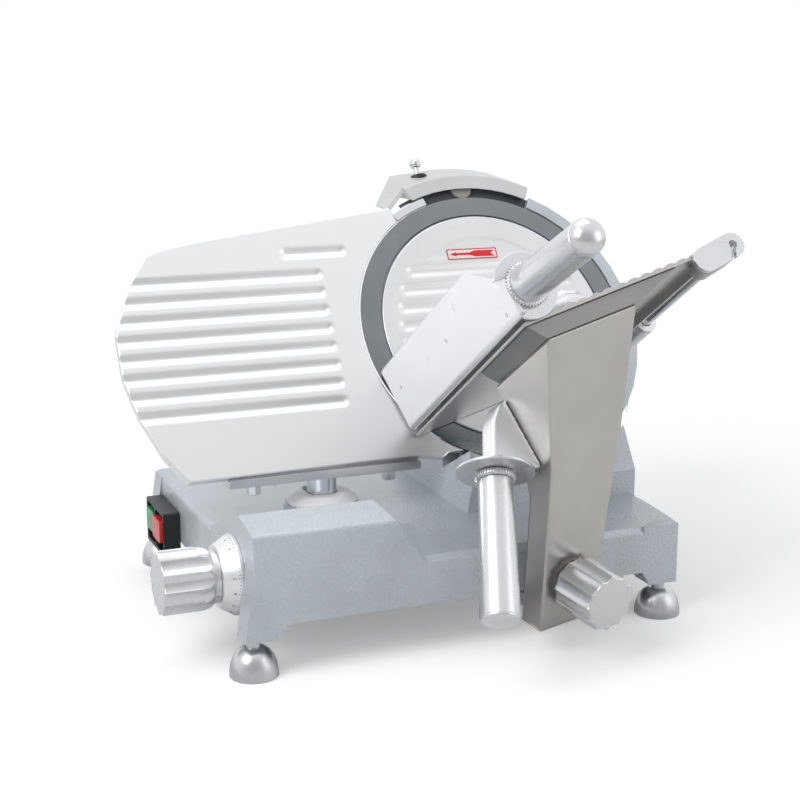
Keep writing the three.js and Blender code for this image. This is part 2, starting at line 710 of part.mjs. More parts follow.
piece("blade_pulley", revolved(pulleyProfile(pulley.bladeRadius, shaftBore)), castAluminium, bladeFrame);

const motorFrame = frame(bladeFrame, 0, -pulley.centres, 0);
piece(
  "motor_pulley",
  solid(revolved(pulleyProfile(pulley.motorRadius, pulley.motorBore - weld)))
    .add(solid(round(pulley.motorBore, motor.front - motor.nose, pulley.front))),
  castAluminium, motorFrame,
);
piece(
  "motor",
  cut(
    join(
      round(motor.radius, motor.front - motor.length, motor.front, FINE_SIDES),
      round(motor.noseRadius, motor.front - weld, motor.front + motor.nose),
    ),
    round(boreRadius(pulley.motorBore, clear.running), motor.front - motor.nose - clear.seat,
      motor.front + overrun),
  ),
  finish(0x4a4f55, 0.5, 0.5), motorFrame,
);

// Belt loop: outside tangents to both pulleys
function beltLoop(extra) {
  const big = pulley.bladeRadius + extra;
  const small = pulley.motorRadius + extra;
  const lean = Math.asin((big - small) / pulley.centres);
  const shape = new THREE.Shape();
  shape.absarc(0, 0, big, lean, Math.PI - lean, false);
  shape.absarc(0, -pulley.centres, small, Math.PI - lean, 2 * Math.PI + lean, false);
  shape.closePath();
  return shape;
}

const beltEdge = pulley.rimWidth + clear.running;
const beltSteps = ROUND_SIDES / 4;
piece(
  "drive_belt",
  cut(
    solid(extruded(beltLoop(pulley.belt), pulleyBack + beltEdge, pulley.front - beltEdge, beltSteps)),
    extruded(beltLoop(pulley.beltGap), pulleyBack - overrun, pulley.front + overrun, beltSteps),
  ),
  black, bladeFrame,
);

["bearing_back", "bearing_front"].forEach((name, i) => {
  const from = -bearing.back + i * (bearing.width + clear.seat);
  piece(
    name,
    revolved([
      [shaftBore, from], [bearing.outer, from], [bearing.outer, from + bearing.width],
      [shaftBore, from + bearing.width], [shaftBore, from],
    ]),
    steel, bladeFrame,
  );
});

// Blade housing: dish plate, rim guard, belt guard shell and bearing boss in one casting
const plateBack = housing.plateFront - housing.plateThickness;
const keyBack = plateBack - housing.depth;

function buildHousing() {
  const arcSteps = ROUND_SIDES / 2;
  const lugTop = Math.sqrt((sharpenerOuter - sharpener.wall) ** 2 - housing.lugHalf ** 2) - 2 * clear.seat
    + ((sharpener.front - housing.plateFront) / Math.cos(BLADE_TILT)) * Math.sin(BLADE_TILT);
  const low = pedestal.topU + clear.seat;
  const shell = cut(
    solid(extruded(keyShape(0, low), keyBack, plateBack + weld, arcSteps)),
    extruded(keyShape(housing.wall, low - overrun), keyBack - overrun, plateBack, arcSteps),
  );
  const discRadius = blade.radius - housing.discInset;
  const body = join(
    round(discRadius, plateBack, housing.plateFront, FINE_SIDES),
    sector(housing.bossRadius, guardOuter, DISH_START, GUARD_END, plateBack, housing.plateFront, arcSteps),
    sector(guardInner, guardOuter, GUARD_START, GUARD_END, plateBack, housing.guardFront, arcSteps),
    block3(-housing.lugHalf, housing.lugHalf, discRadius / 2, lugTop, plateBack, housing.plateFront),
    round(housing.bossRadius, -housing.bossBack, housing.plateFront),
  );
  return cut(
    body.add(shell),
    round(boreRadius(bearing.outer, clear.seat), -housing.bossBack - overrun, housing.plateFront + overrun),
  );
}

piece("blade_housing", buildHousing(), hammertone, bladeFrame);

const coverFront = keyBack - clear.seat;
piece(
  "belt_cover",
  cut(
    solid(extruded(keyShape(0, pedestal.topU + clear.seat), coverFront - beltCover.thickness, coverFront,
      ROUND_SIDES / 2)),
    round(beltCover.rodHole, coverFront - overrun, coverFront + overrun, ROUND_SIDES / 2),
  ),
  hammertone, bladeFrame,
);
piece(
  "tie_rod_knob",
  cut(
    solid(fluted(tie.knobRadius, tie.knobFlute, KNOB_FLUTES, -tie.knobFront - tie.knobLength, -tie.knobFront,
      tie.knobEdge)),
    round(boreRadius(tie.radius, clear.seat, ROUND_SIDES / 2), -tie.back - clear.seat, 0, ROUND_SIDES / 2),
  ),
  black, bladeFrame,
);

// Sharpener housing: an arched band carried straight back, hollow below
const backward = new THREE.Vector3(0, -Math.sin(BLADE_TILT), Math.cos(BLADE_TILT));
const sweepBack = new THREE.Matrix4().makeBasis(axisX, axisY, backward);

function sweptBand(inner, outer, start, end, from, to) {
  return sector(inner, outer, start, end, -to, -from, ROUND_SIDES / 4)
    .applyMatrix4(sweepBack).translate(0, 0, sharpener.front);
}

function buildSharpener() {
  const wallTurn = sharpener.wall / sharpenerOuter;
  const x = sharpenerOuter * Math.cos(SHARPENER_END);
  const u = sharpenerOuter * Math.sin(SHARPENER_END);
  const legOutline = [
    [x + sharpener.legThick, u - sharpener.legThick / 2], [x, u],
    [x - sharpener.legReach, u - sharpener.legDrop],
    [x - sharpener.legReach + sharpener.legThick, u - sharpener.legDrop - sharpener.legThick / 2],
  ];
  const leftLeg = prismZ(legOutline, -sharpener.depth, -sharpener.legStart)
    .applyMatrix4(sweepBack).translate(0, 0, sharpener.front);
  const body = join(
    sweptBand(sharpenerInner, sharpenerOuter, SHARPENER_START, SHARPENER_END, 0, sharpener.depth), leftLeg,
  );
  const hollow = sweptBand(
    sharpenerInner - overrun, sharpenerOuter - sharpener.wall, SHARPENER_START + wallTurn,
    SHARPENER_END - wallTurn, sharpener.wall, sharpener.depth - sharpener.wall,
  );
  return cut(body, hollow, round(boreRadius(button.stem, clear.running), 0, sharpenerOuter + overrun)
    .rotateX(-Math.PI / 2).applyMatrix4(buttonFrame.matrix));
}

const buttonN = sharpener.front - button.depth * Math.cos(BLADE_TILT);
const buttonFrame = frame(bladeFrame, button.x, 0, buttonN);
const roofU = Math.sqrt(sharpenerOuter ** 2 - button.x ** 2) + button.depth * Math.sin(BLADE_TILT);
piece("sharpener_housing", buildSharpener(), finish(0xc4c8ca, 0.45, 0.2), bladeFrame);

const collarReach = button.collar * Math.sin(BLADE_TILT);
const collarCut = sweptBand(
  0, sharpenerOuter + clear.seat, SHARPENER_START, SHARPENER_END, -overrun, sharpener.depth + overrun,
);
piece(
  "button_collar",
  cut(
    solid(round(button.collar, roofU - collarReach * 2, roofU + button.collarHeight)
      .rotateX(-Math.PI / 2).translate(button.x, 0, buttonN)),
    collarCut,
    round(boreRadius(button.stem, clear.running), 0, roofU + overrun)
      .rotateX(-Math.PI / 2).translate(button.x, 0, buttonN),
  ),
  black, bladeFrame,
);

const ballU = roofU + button.lift + button.ball;
piece(
  "sharpener_button",
  join(
    new THREE.SphereGeometry(button.ball, ROUND_SIDES / 2, ROUND_SIDES / 4),
    round(button.stem, -ballU + roofU - button.stemLength, 0).rotateX(-Math.PI / 2),
  ),
  chrome, bladeFrame,
).position.set(button.x, ballU, buttonN);

piece(
  "sharpening_stone",
  join(
    round(stone.radius, stone.n, stone.n + stone.thickness),
    round(stone.spindle, stone.n - stone.spindleBack, stone.n + weld),
  ),
  finish(0x5b5650, 0.9, 0), bladeFrame,
).position.set(0, blade.radius + stone.out, 0);

const bracketInner = blade.radius + bracket.gap;
piece(
  "rim_bracket",
  sector(bracketInner, bracketInner + bracket.width, BRACKET_START, BRACKET_END, bracket.back,
    bracket.front, CORNER_STEPS),
  chrome, bladeFrame,
);
const lowerInner = blade.radius - lowerGuard.lap;
piece(
  "lower_guard",
  sector(lowerInner, lowerInner + lowerGuard.width, LOWER_START, LOWER_END, housing.plateFront + clear.seat,
    lowerGuard.front, CORNER_STEPS),
  finish(0x3f4449, 0.5, 0.3), bladeFrame,
);

// Gauge plate with pressed grooves, its bar, bolts, column and slider

const share = (point) => [plate.left + plate.width * point[0], plate.bottom + plate.height * point[1]];

function buildPlate() {
  const shape = new THREE.Shape();
  plateOutlineShares.map(share).forEach(([x, u], i) => (i ? shape.lineTo(x, u) : shape.moveTo(x, u)));
  shape.closePath();
  const back = plate.front - plate.thickness;
  const grooveAt = (from, to, u) => groove(from, to, u, plate.grooveHalf, plate.grooveDepth, plate.front);
  const grooves = Array.from({ length: GROOVE_COUNT }, (_, i) =>
    grooveAt(plate.left - overrun, plate.grooveEnd, plate.grooveTop - i * plate.groovePitch));
  return cut(
    solid(extruded(shape, back, plate.front)),
    round(boreRadius(blade.radius, plate.bladeGap, FINE_SIDES), back - overrun, overrun, FINE_SIDES),
    ...grooves, grooveAt(plate.shortLeft, plate.shortRight, plate.shortU),
  );
}

piece("gauge_plate", buildPlate(), aluminium, bladeFrame);

const plateSpace = block3(
  plate.left - overrun, 0, plate.bottom - clear.seat, overrun,
  plate.front - plate.thickness - clear.seat, overrun,
);
const barBolts = [bar.boltLeft, bar.boltRight];
const barHole = boreRadius(bar.boltRadius, clear.seat);
const barHoles = barBolts.map((x) =>
  round(barHole, bar.bottom - overrun, bar.top + overrun).translate(x, bar.boltY, 0));
piece(
  "gauge_bar",
  cut(
    solid(block3(bar.left, bar.right, bar.front, bar.back, bar.bottom, bar.top)),
    plateSpace.applyMatrix4(bladeFrame.matrix), ...barHoles,
  ),
  steel, machine,
);
barBolts.forEach((x, i) => {
  piece(
    i ? "gauge_bolt_right" : "gauge_bolt_left",
    join(
      round(bar.boltHead, bar.bottom - clear.seat - bar.headHeight, bar.bottom - clear.seat, HEX_SIDES),
      round(bar.boltRadius, bar.bottom - bar.headHeight, bar.top),
    ),
    steel, machine,
  ).position.set(x, bar.boltY, 0);
});

piece(
  "gauge_column",
  round(column.radius, column.bottom, bar.bottom - clear.seat).translate(column.x, column.y, 0),
  chrome, machine,
);

function buildGaugeSlider() {
  const body = join(
    block3(-guide.blockHalf, guide.blockHalf, -guide.blockBelow, guide.blockAbove, guide.blockBack,
      guide.blockFront).applyMatrix4(guideFrame.matrix),
    round(guide.socketRadius, guide.socketBottom, guide.socketTop).translate(column.x, column.y, 0),
    block3(follower.left, follower.crossEnd, follower.crossFront, follower.crossBack,
      follower.crossBottom, follower.crossTop),
    prismX(
      [
        [follower.front, follower.legBottom], [follower.legBack, follower.legBottom],
        [follower.legBack, follower.bottom], [follower.crossBack, follower.bottom],
        [follower.crossBack, follower.top], [follower.front, follower.top],
      ],
      follower.left, follower.right,
    ),
    roundX(scroll.pin, scroll.pinStart, follower.left + weld, ROUND_SIDES / 2).translate(
      0, knob.y + scroll.first * Math.cos(BLADE_TILT), knob.z - scroll.first * Math.sin(BLADE_TILT),
    ),
  );
  return cut(
    body,
    round(boreRadius(guide.radius, clear.running), guide.back, guide.front).applyMatrix4(guideFrame.matrix),
    round(boreRadius(column.radius, clear.seat), column.bottom - clear.seat, collar.bossTop)
      .translate(column.x, column.y, 0),
  );
}

piece("gauge_slider", buildGaugeSlider(), castAluminium, machine);

// Thickness knob, dial, shaft and scroll cam, about an axis along X

const knobFrame = frame(machine, 0, knob.y, knob.z);
knobFrame.matrix.multiply(turnToX);
knobFrame.matrix.decompose(knobFrame.position, knobFrame.quaternion, knobFrame.scale);

const knobBore = () => round(boreRadius(knob.shaft, clear.seat), knob.back - knob.bore, overrun);
piece(
  "thickness_knob",
  cut(solid(fluted(knob.radius, knob.flute, KNOB_FLUTES, knob.front, knob.back, knob.edge)), knobBore()),
  aluminium, knobFrame,
);
piece(
  "thickness_dial",
  cut(
    solid(revolved([
      [0, dial.front], [dial.small, dial.front], [dial.radius, dial.back - dial.rim],
      [dial.radius, dial.back], [0, dial.back],
    ], FINE_SIDES)),
    knobBore(),
  ),
  white, knobFrame,
);
piece("knob_shaft", round(knob.shaft, knob.back - knob.bore + clear.seat, knob.shaftEnd), steel, knobFrame);

// The groove winds out by the gauge travel while the cam turns from closed to open
function scrollGroove() {
  const shape = new THREE.Shape();
  const pinAngle = -BLADE_TILT;
  const growth = gaugeTravel / SCROLL_TURN;
  const lead = scroll.half / scroll.first;
  const at = (i, side) => {
    const turn = -lead + (i * (SCROLL_TURN + SCROLL_RUN_OUT * lead)) / SCROLL_STEPS;
    const radius = scroll.first + growth * turn + side * scroll.half;
    return [radius * Math.cos(pinAngle - turn), radius * Math.sin(pinAngle - turn)];
  };
  for (let i = 0; i <= SCROLL_STEPS; i += 1) {
    if (i) shape.lineTo(...at(i, 1));
    else shape.moveTo(...at(i, 1));
  }
  for (let i = SCROLL_STEPS; i >= 0; i -= 1) shape.lineTo(...at(i, -1));
  shape.closePath();
  return extruded(shape, scroll.right - scroll.groove, scroll.right + overrun);
}

piece(
  "scroll_cam",
  cut(
    solid(round(scroll.radius, scroll.left, scroll.right, FINE_SIDES)),
    round(boreRadius(knob.shaft, clear.seat), scroll.left - overrun, knob.shaftEnd + clear.seat),
    scrollGroove(),
  ),
  castAluminium, knobFrame,
);

// Carriage: slider on the square rail, folded arm, cradle, tray and rod

const linerInner = railHalf + clear.running;
const linerOuter = linerInner + slider.liner;

function squareTube(outer, inner, from, to) {
  const square = (half, x0, x1) =>
    block3(x0, x1, rail.y - half, rail.y + half, rail.z - half, rail.z + half);
  return cut(solid(square(outer, from, to)), square(inner, from - overrun, to + overrun));
}

const sheetBack = arm.sheet + clear.seat;
const armRoom = block3(-far, far, -far, sheetBack, -far, far);

function buildSlider() {
  const body = join(
    block3(slider.left, slider.right, slider.front, slider.back, slider.bottom, slider.top),
    block3(slider.beamLeft, slider.beamRight, arm.y - overrun, slider.back, slider.beamBottom,
      slider.beamTop),
    block3(-slider.uprightHalf, slider.uprightHalf, 0, slider.uprightBack, slider.uprightBottom,
      slider.uprightTop).applyMatrix4(armFrame.matrix),
  );
  const seat = linerOuter + clear.seat;
  return cut(
    body,
    block3(slider.left - overrun, slider.right + overrun, rail.y - seat, rail.y + seat, rail.z - seat,
      rail.z + seat),
    armRoom.applyMatrix4(armFrame.matrix),
    knobHole(slider.uprightBack + overrun).applyMatrix4(armFrame.matrix),
  );
}

function knobHole(to) {
  return round(boreRadius(carriageKnob.shaft, clear.running), -to, overrun)
    .rotateX(Math.PI / 2).translate(carriageKnob.a, 0, carriageKnob.c);
}

piece("carriage_slider", buildSlider(), castAluminium, machine);
piece("slider_liner", squareTube(linerOuter, linerInner, slider.left, slider.right), white, machine);

// Under side of the cradle, which the arm stops below
const seamM = cradle.bottom - clear.seat;

function armOutline(inset) {
  const top = arm.topRightUp + arm.topDepth;
  const rise = (top - arm.kneeUp) / (arm.topLeftUp - arm.kneeUp);
  return [
    [arm.kneeLeft + (arm.topLeft - arm.kneeLeft) * rise + inset, top],
    [arm.kneeLeft + inset, arm.kneeUp],
    [arm.footLeft + inset, inset ? -overrun : 0],
    [arm.footRight - inset, inset ? -overrun : arm.footRightUp],
    [arm.shinRight - inset, arm.shinUp], [arm.hipRight - inset, arm.hipUp], [arm.topRight - inset, top],
  ];
}

function buildArm() {
  const depthOutline = [
    [0, -overrun], [arm.footDepth, -overrun], [arm.midDepth, arm.midUp], [arm.hipDepth, arm.hipDepthUp],
    [arm.topDepth, arm.topDepthUp], [arm.topDepth, far], [0, far],
  ];
  const outer = solid(prismY(armOutline(0), 0, arm.topDepth + overrun))
    .intersect(solid(prismX(depthOutline, -far, far)));
  const above = block3(-far, far, seamM, far, -far, far);
  const beyond = block3(-far, far, -far, far, cradle.front, far);
  return cut(
    outer,
    prismY(armOutline(arm.sheet), arm.sheet, far),
    above.applyMatrix4(trayToArm), beyond.applyMatrix4(trayToArm), knobHole(overrun),
  );
}

piece("carriage_arm", buildArm(), brushed, armFrame);

piece(
  "arm_boss",
  cut(
    solid(round(carriageKnob.boss, clear.seat, carriageKnob.bossLength)
      .rotateX(Math.PI / 2).translate(carriageKnob.a, 0, carriageKnob.c)),
    knobHole(overrun),
  ),
  steel, armFrame,
);
piece(
  "carriage_knob",
  join(
    fluted(carriageKnob.radius, carriageKnob.flute, KNOB_FLUTES, carriageKnob.bossLength + clear.seat,
      carriageKnob.bossLength + carriageKnob.length, carriageKnob.edge).rotateX(Math.PI / 2),
    round(carriageKnob.shaft, -carriageKnob.reach, carriageKnob.bossLength + weld).rotateX(Math.PI / 2),
  ),
  aluminium, armFrame,
).position.set(carriageKnob.a, 0, carriageKnob.c);
piece(
  "stub_pin",
  roundX(pin.radius, pin.a + clear.seat, pin.a + pin.length, ROUND_SIDES / 2),
  steel, armFrame,
).position.set(0, pin.b, pin.c);

// Cradle: a folded pan under the tray that the arm carries
const trayUnder = tray.top - tray.ridge - tray.sheet;
const cradleTop = trayUnder - clear.seat;

function cradleOutline(inset) {
  const top = inset ? cradleTop + overrun : cradleTop;
  const run = (cradle.leftBottom - cradle.leftTop) / (cradleTop - cradle.bottom);
  const fall = (cradle.rightTop - cradle.rightBottom) / (cradleTop - cradle.bottom);
  const bottom = cradle.bottom + inset;
  return [
    [cradle.leftBottom + inset - run * inset, bottom], [cradle.rightBottom - inset + fall * inset, bottom],
    [cradle.rightBottom - inset + fall * (top - cradle.bottom), top],
    [cradle.leftBottom + inset - run * (top - cradle.bottom), top],
  ];
}

piece(
  "tray_cradle",
  cut(
    solid(prismZ(cradleOutline(0), cradle.back, cradle.front)),
    prismZ(cradleOutline(cradle.sheet), cradle.back - overrun, cradle.front - cradle.sheet),
  ),
  brushed, trayFrame,
);

// Tray: corrugated along the blade normal, with a flange and two rod lugs at its right edge
function buildTray() {
  const valley = tray.top - tray.ridge;
  const ridgeCount = Math.floor((tray.ribEnd - tray.left) / tray.pitch);
  const profile = [[tray.left, trayUnder]];
  for (let i = 0; i < ridgeCount; i += 1) {
    const t = tray.left + i * tray.pitch + tray.slope;
    profile.push(
      [t - tray.slope, valley], [t, tray.top], [t + tray.ridgeWidth, tray.top],
      [t + tray.ridgeWidth + tray.slope, valley],
    );
  }
  profile.push(
    [tray.ribEnd, valley], [tray.ribEnd + tray.slope, tray.top], [tray.right, tray.top],
    [tray.right, tray.top - tray.flangeDrop], [tray.right - tray.flangeWall, tray.top - tray.flangeDrop],
    [tray.right - tray.flangeWall, trayUnder],
  );
  const lugT = tray.right - tray.flangeWall / 2;
  const lugM = tray.top - tray.lugRadius;
  const lugs = [tray.lugBack, tray.lugFront].map((from) =>
    solid(extruded(slotShape(lugT, lugM, rod.t, rod.m, tray.lugRadius), from, from + tray.lugWidth,
      ROUND_SIDES / 4)));
  const sheet = solid(prismZ(profile.reverse(), tray.back, tray.front));
  const body = lugs.reduce((all, next) => all.add(next), sheet);
  return cut(body, rodBore(tray.lugBack - overrun, tray.front));
}

function rodBore(from, to) {
  return round(boreRadius(rod.radius, clear.seat), from, to).translate(rod.t, rod.m, 0);
}

piece("carriage_tray", buildTray(), brushed, trayFrame);
piece("pusher_rod", round(rod.radius, rod.back, rod.front).translate(rod.t, rod.m, 0), chrome, trayFrame);

const bracketBack = tray.front + clear.seat;
piece(
  "end_bracket",
  cut(
    solid(extruded(
      slotShape(endBracket.left + endBracket.radius, tray.top - endBracket.foot, rod.t, rod.m,
        endBracket.radius),
      bracketBack, bracketBack + endBracket.thickness, ROUND_SIDES / 4,
    )),
    round(endBracket.hole, bracketBack - overrun, bracketBack + overrun).translate(rod.t, rod.m, 0),
    extruded(
      slotShape(rod.t, rod.m, rod.t - endBracket.slotLength / 2, rod.m - endBracket.slotLength,
        endBracket.slotHalf),
      bracketBack - overrun, bracketBack + overrun,
    ),
  ),
  aluminium, trayFrame,
);

// Lower handle on its elbow. Its frame has Z up the grip's axis and X square to it towards the arm.
const gripUp = new THREE.Vector3(...gripUpShares).normalize();
const toArmSide = new THREE.Vector3(Math.cos(ARM_YAW), Math.sin(ARM_YAW), 0);
toArmSide.addScaledVector(gripUp, -toArmSide.dot(gripUp)).normalize();
const handleFrame = frame(machine, lowerGrip.x, lowerGrip.y, lowerGrip.z);
handleFrame.quaternion.setFromRotationMatrix(
  new THREE.Matrix4().makeBasis(toArmSide, gripUp.clone().cross(toArmSide), gripUp),
);
handleFrame.updateMatrix();

function discProfile(radius, from, to) {
  const edge = (to - from) / 4;
  return [
    [0, from], [radius - edge, from], [radius, from + edge], [radius, to - edge], [radius - edge, to],
    [0, to],
  ];
}

// A grip from its neck at height 0 to a domed end
function gripProfile(size) {
  const points = [[0, 0], [size.neck, 0], [size.tip, size.length]];
  for (let i = 1; i < DOME_STEPS; i += 1) {
    const angle = (i * Math.PI) / (2 * DOME_STEPS);
    points.push([size.tip * Math.cos(angle), size.length + size.dome * Math.sin(angle)]);
  }
  points.push([0, size.length + size.dome]);
  return points;
}

piece(
  "handle_guard", revolved(discProfile(lowerGrip.guard, 0, lowerGrip.guardThick)), aluminium, handleFrame,
);
piece(
  "handle_ring",
  revolved(discProfile(lowerGrip.ring, -lowerGrip.ringThick, -clear.seat)),
  castAluminium, handleFrame,
);
const lowerHandle = piece("carriage_handle", revolved(gripProfile(lowerGrip)), aluminium, handleFrame);
lowerHandle.rotation.x = Math.PI;
lowerHandle.position.z = -lowerGrip.ringThick - clear.seat;

// A round neck over the guard that flares into a flat pad on the arm's left wall
function buildElbow() {
  const low = lowerGrip.guardThick + clear.seat;
  const side = prismY(
    [
      [-elbow.neck, low], [elbow.underStart, low], [elbow.reach, low + elbow.underRise],
      [elbow.reach, elbow.crown], [elbow.crownX, elbow.crown, elbow.crownRadius],
      [elbow.shoulderIn - elbow.neck, elbow.shoulder, elbow.shoulderRadius],
    ],
    -far, far,
  );
  const plan = prismZ(
    [
      [-elbow.neck, -elbow.neck, elbow.neckRadius], [elbow.reach, -elbow.flare],
      [elbow.reach, elbow.flareBack], [-elbow.neck, elbow.neck, elbow.neckRadius],
    ],
    -far, far,
  );
  const toHandle = handleFrame.matrix.clone().invert().multiply(armFrame.matrix);
  const room = prismY(armOutline(-clear.seat), -far, far).applyMatrix4(toHandle);
  return cut(solid(side).intersect(solid(plan)), room);
}

piece("handle_elbow", buildElbow(), castAluminium, handleFrame);

// Pusher: bush and hub on the rod, link over the tray, hollow block, guard and handle

const rodFrame = frame(trayFrame, rod.t, rod.m, 0);
const bushBore = boreRadius(rod.radius, clear.running);
const bushOuter = rod.radius + clear.running + bush.wall;
piece(
  "pusher_bush",
  revolved([
    [bushBore, bush.back], [bush.collarRadius, bush.back], [bush.collarRadius, bush.back + bush.collar],
    [bushOuter, bush.back + bush.collar], [bushOuter, bush.front - bush.collar],
    [bush.collarRadius, bush.front - bush.collar], [bush.collarRadius, bush.front], [bushBore, bush.front],
    [bushBore, bush.back],
  ]),
  castAluminium, rodFrame,
);

const blockRight = block.left + block.thickness;

function buildHub() {
  const from = new THREE.Vector3(link.bossEnd - clear.slot - link.bend, link.m, link.n);
  const corner = new THREE.Vector3(rod.t, link.m, link.n);
  const to = new THREE.Vector3(rod.t, rod.m + rod.radius, link.n);
  const circle = new THREE.Shape().absarc(0, 0, link.radius, 0, 2 * Math.PI, false);
  const sweep = new THREE.ExtrudeGeometry(circle, {
    steps: SWEEP_STEPS, curveSegments: ROUND_SIDES / 4, bevelEnabled: false,
    extrudePath: new THREE.QuadraticBezierCurve3(from, corner, to),
  });
  const body = join(
    roundX(link.boss, blockRight + clear.seat, link.bossEnd).translate(0, link.m, link.n), sweep,
    round(hub.radius, bush.back + bush.collar + clear.running, bush.front - bush.collar - clear.running)
      .translate(rod.t, rod.m, 0),
  );
  return cut(
    body,
    round(boreRadius(bushOuter, clear.running), bush.back - overrun, bush.front + overrun)
      .translate(rod.t, rod.m, 0),
  );
}

piece("pusher_hub", buildHub(), castAluminium, trayFrame);

const pusherFrame = frame(trayFrame, pusherGrip.t, pusherGrip.m, pusherGrip.n, { x: PUSHER_TIP });

function buildBlock() {
  const front = block.front + overrun;
  const chamferAt = block.front - block.chamferLong;
  const noseM = block.top - (block.chamferDrop * (front - chamferAt)) / block.chamferLong;
  const side = (inset) => prismX(
    [
      [block.bottom, block.back + inset], [block.top - inset, block.back + inset, block.edge - inset],
      [block.top - inset, chamferAt - inset / 2], [noseM - inset, front], [block.bottom, front],
    ],
    block.left + inset, blockRight - inset,
  );
  const section = prismZ(
    [
      [block.left, block.bottom, block.edge], [blockRight, block.bottom, block.edge],
      [blockRight, block.top, block.edge / 2], [block.left, block.top, block.edge / 2],
    ],
    block.back - overrun, front + overrun,
  );
  const beyond = (gap) => block3(-far, far, -far, far, -gap, far).applyMatrix4(pusherFrame.matrix);
  const hollow = cut(solid(side(block.wall)), beyond(block.wall))
    .add(solid(block3(block.left + block.wall, blockRight - block.wall, block.bottom - overrun,
      block.bottom + block.wall, block.back + block.wall, chamferAt)));
  const outer = cut(solid(side(0)).intersect(solid(section)), beyond(0));
  return outer.subtract(hollow);
}

piece("pusher_block", buildBlock(), white, trayFrame);

// Grip plate on the meat side of the block: saw-edged ridges across it
function buildGrip() {
  const face = blockRight + clear.seat;
  const profile = [[face, block.gripBack]];
  const count = Math.floor((block.gripFront - block.gripBack) / block.gripPitch);
  for (let i = 0; i < count; i += 1) {
    const n = block.gripBack + i * block.gripPitch;
    profile.push([face + block.grip, n], [face + block.grip + block.gripDepth, n + block.gripPitch / 2]);
  }
  const end = block.gripBack + count * block.gripPitch;
  profile.push([face + block.grip, end], [face, end]);
  return prismY(profile, block.gripBottom, block.gripTop);
}

piece("grip_plate", buildGrip(), aluminium, trayFrame);

const ringFrom = pusherGrip.guardThick + 2 * clear.seat;
const gripFrom = ringFrom + pusherGrip.ringThick + clear.seat;
piece(
  "pusher_guard",
  revolved(discProfile(pusherGrip.guard, clear.seat, clear.seat + pusherGrip.guardThick)),
  aluminium, pusherFrame,
);
piece(
  "pusher_ring",
  revolved(discProfile(pusherGrip.ring, ringFrom, ringFrom + pusherGrip.ringThick)),
  castAluminium, pusherFrame,
);
piece(
  "pusher_handle",
  revolved(gripProfile(pusherGrip)),
  aluminium, pusherFrame,
).position.z = gripFrom;

export default machine;
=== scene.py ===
"""Gravity-feed deli slicer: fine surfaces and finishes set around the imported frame.

Lengths are metres and angles radians. X runs along the carriage travel, Y away from the
operator and Z up. Each sub-assembly is a class that holds its sizes and builds its own pieces.
"""
import json
import logging
import math
from dataclasses import dataclass
from enum import Enum
from typing import Callable, Sequence

import bmesh
import bpy
import numpy as np
from mathutils import Matrix, Vector


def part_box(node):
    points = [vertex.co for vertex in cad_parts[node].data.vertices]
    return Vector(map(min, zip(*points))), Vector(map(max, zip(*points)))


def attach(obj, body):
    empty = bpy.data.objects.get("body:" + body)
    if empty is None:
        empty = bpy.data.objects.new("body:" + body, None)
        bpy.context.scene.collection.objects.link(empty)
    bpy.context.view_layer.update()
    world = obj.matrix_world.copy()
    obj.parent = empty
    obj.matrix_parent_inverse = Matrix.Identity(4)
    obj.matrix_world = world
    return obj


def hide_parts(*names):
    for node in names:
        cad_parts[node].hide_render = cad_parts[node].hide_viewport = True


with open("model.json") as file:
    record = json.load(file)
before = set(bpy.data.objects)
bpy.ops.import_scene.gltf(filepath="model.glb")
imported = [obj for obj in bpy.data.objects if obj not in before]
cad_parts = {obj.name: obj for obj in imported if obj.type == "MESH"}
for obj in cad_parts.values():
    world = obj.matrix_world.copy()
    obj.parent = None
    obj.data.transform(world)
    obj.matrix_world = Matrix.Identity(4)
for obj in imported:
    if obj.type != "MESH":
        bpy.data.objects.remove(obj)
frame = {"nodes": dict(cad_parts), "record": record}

LOG = logging.getLogger("slicer")
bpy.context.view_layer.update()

# Points of a new piece closer than MERGE join. In a solid of the frame, points closer than WELD
# join, and faces that turn less than FLAT become one.
MERGE = 1e-7
WELD = 2e-5
FLAT = math.radians(0.6)

# A reach gives radii from angles, radii and heights. A reshape moves points.
Reach = Callable[[np.ndarray, np.ndarray, np.ndarray], np.ndarray]
Reshape = Callable[[np.ndarray], np.ndarray]

BLADE_TILT = math.radians(33)
TRAY_TURN = math.radians(16)
ARM_YAW = math.radians(11.7)
ARM_LEAN = math.radians(7.2)
PUSHER_TIP = math.radians(5)


# Places: an origin with three axes


class Place:
    """An origin and three square axes that carry local points into the machine."""

    def __init__(self, origin: Sequence[float], axes: Sequence[Sequence[float]]) -> None:
        """Keeps the origin and the axes.

        Args:
            origin: Where the local zero lies.
            axes: The local x, y and z directions.
        """
        self.origin = np.array(origin, float)
        self.axes = np.array(axes, float)

    def carry(self, points: np.ndarray) -> np.ndarray:
        """Returns local points in the machine: origin plus each coordinate along its axis."""
        return points @ self.axes + self.origin

    def local(self, points: np.ndarray) -> np.ndarray:
        """Returns points of the machine in local coordinates."""
        return (points - self.origin) @ self.axes.T

    def moved(self, offset: Sequence[float], turn: float = 0.0, about: str = "Z") -> "Place":
        """Makes a place inside this one.

        Args:
            offset: Its origin in local coordinates.
            turn: Its turn about one of the local axes.
            about: The name of that axis.

        Returns:
            The new place.
        """
        spin = np.array(Matrix.Rotation(turn, 3, about))
        return Place(self.carry(np.array(offset, float)), spin.T @ self.axes)

    def euler(self) -> tuple[float, float, float]:
        """Returns the turn of the axes as XYZ angles."""
        return tuple(Matrix(self.axes.T.tolist()).to_euler())


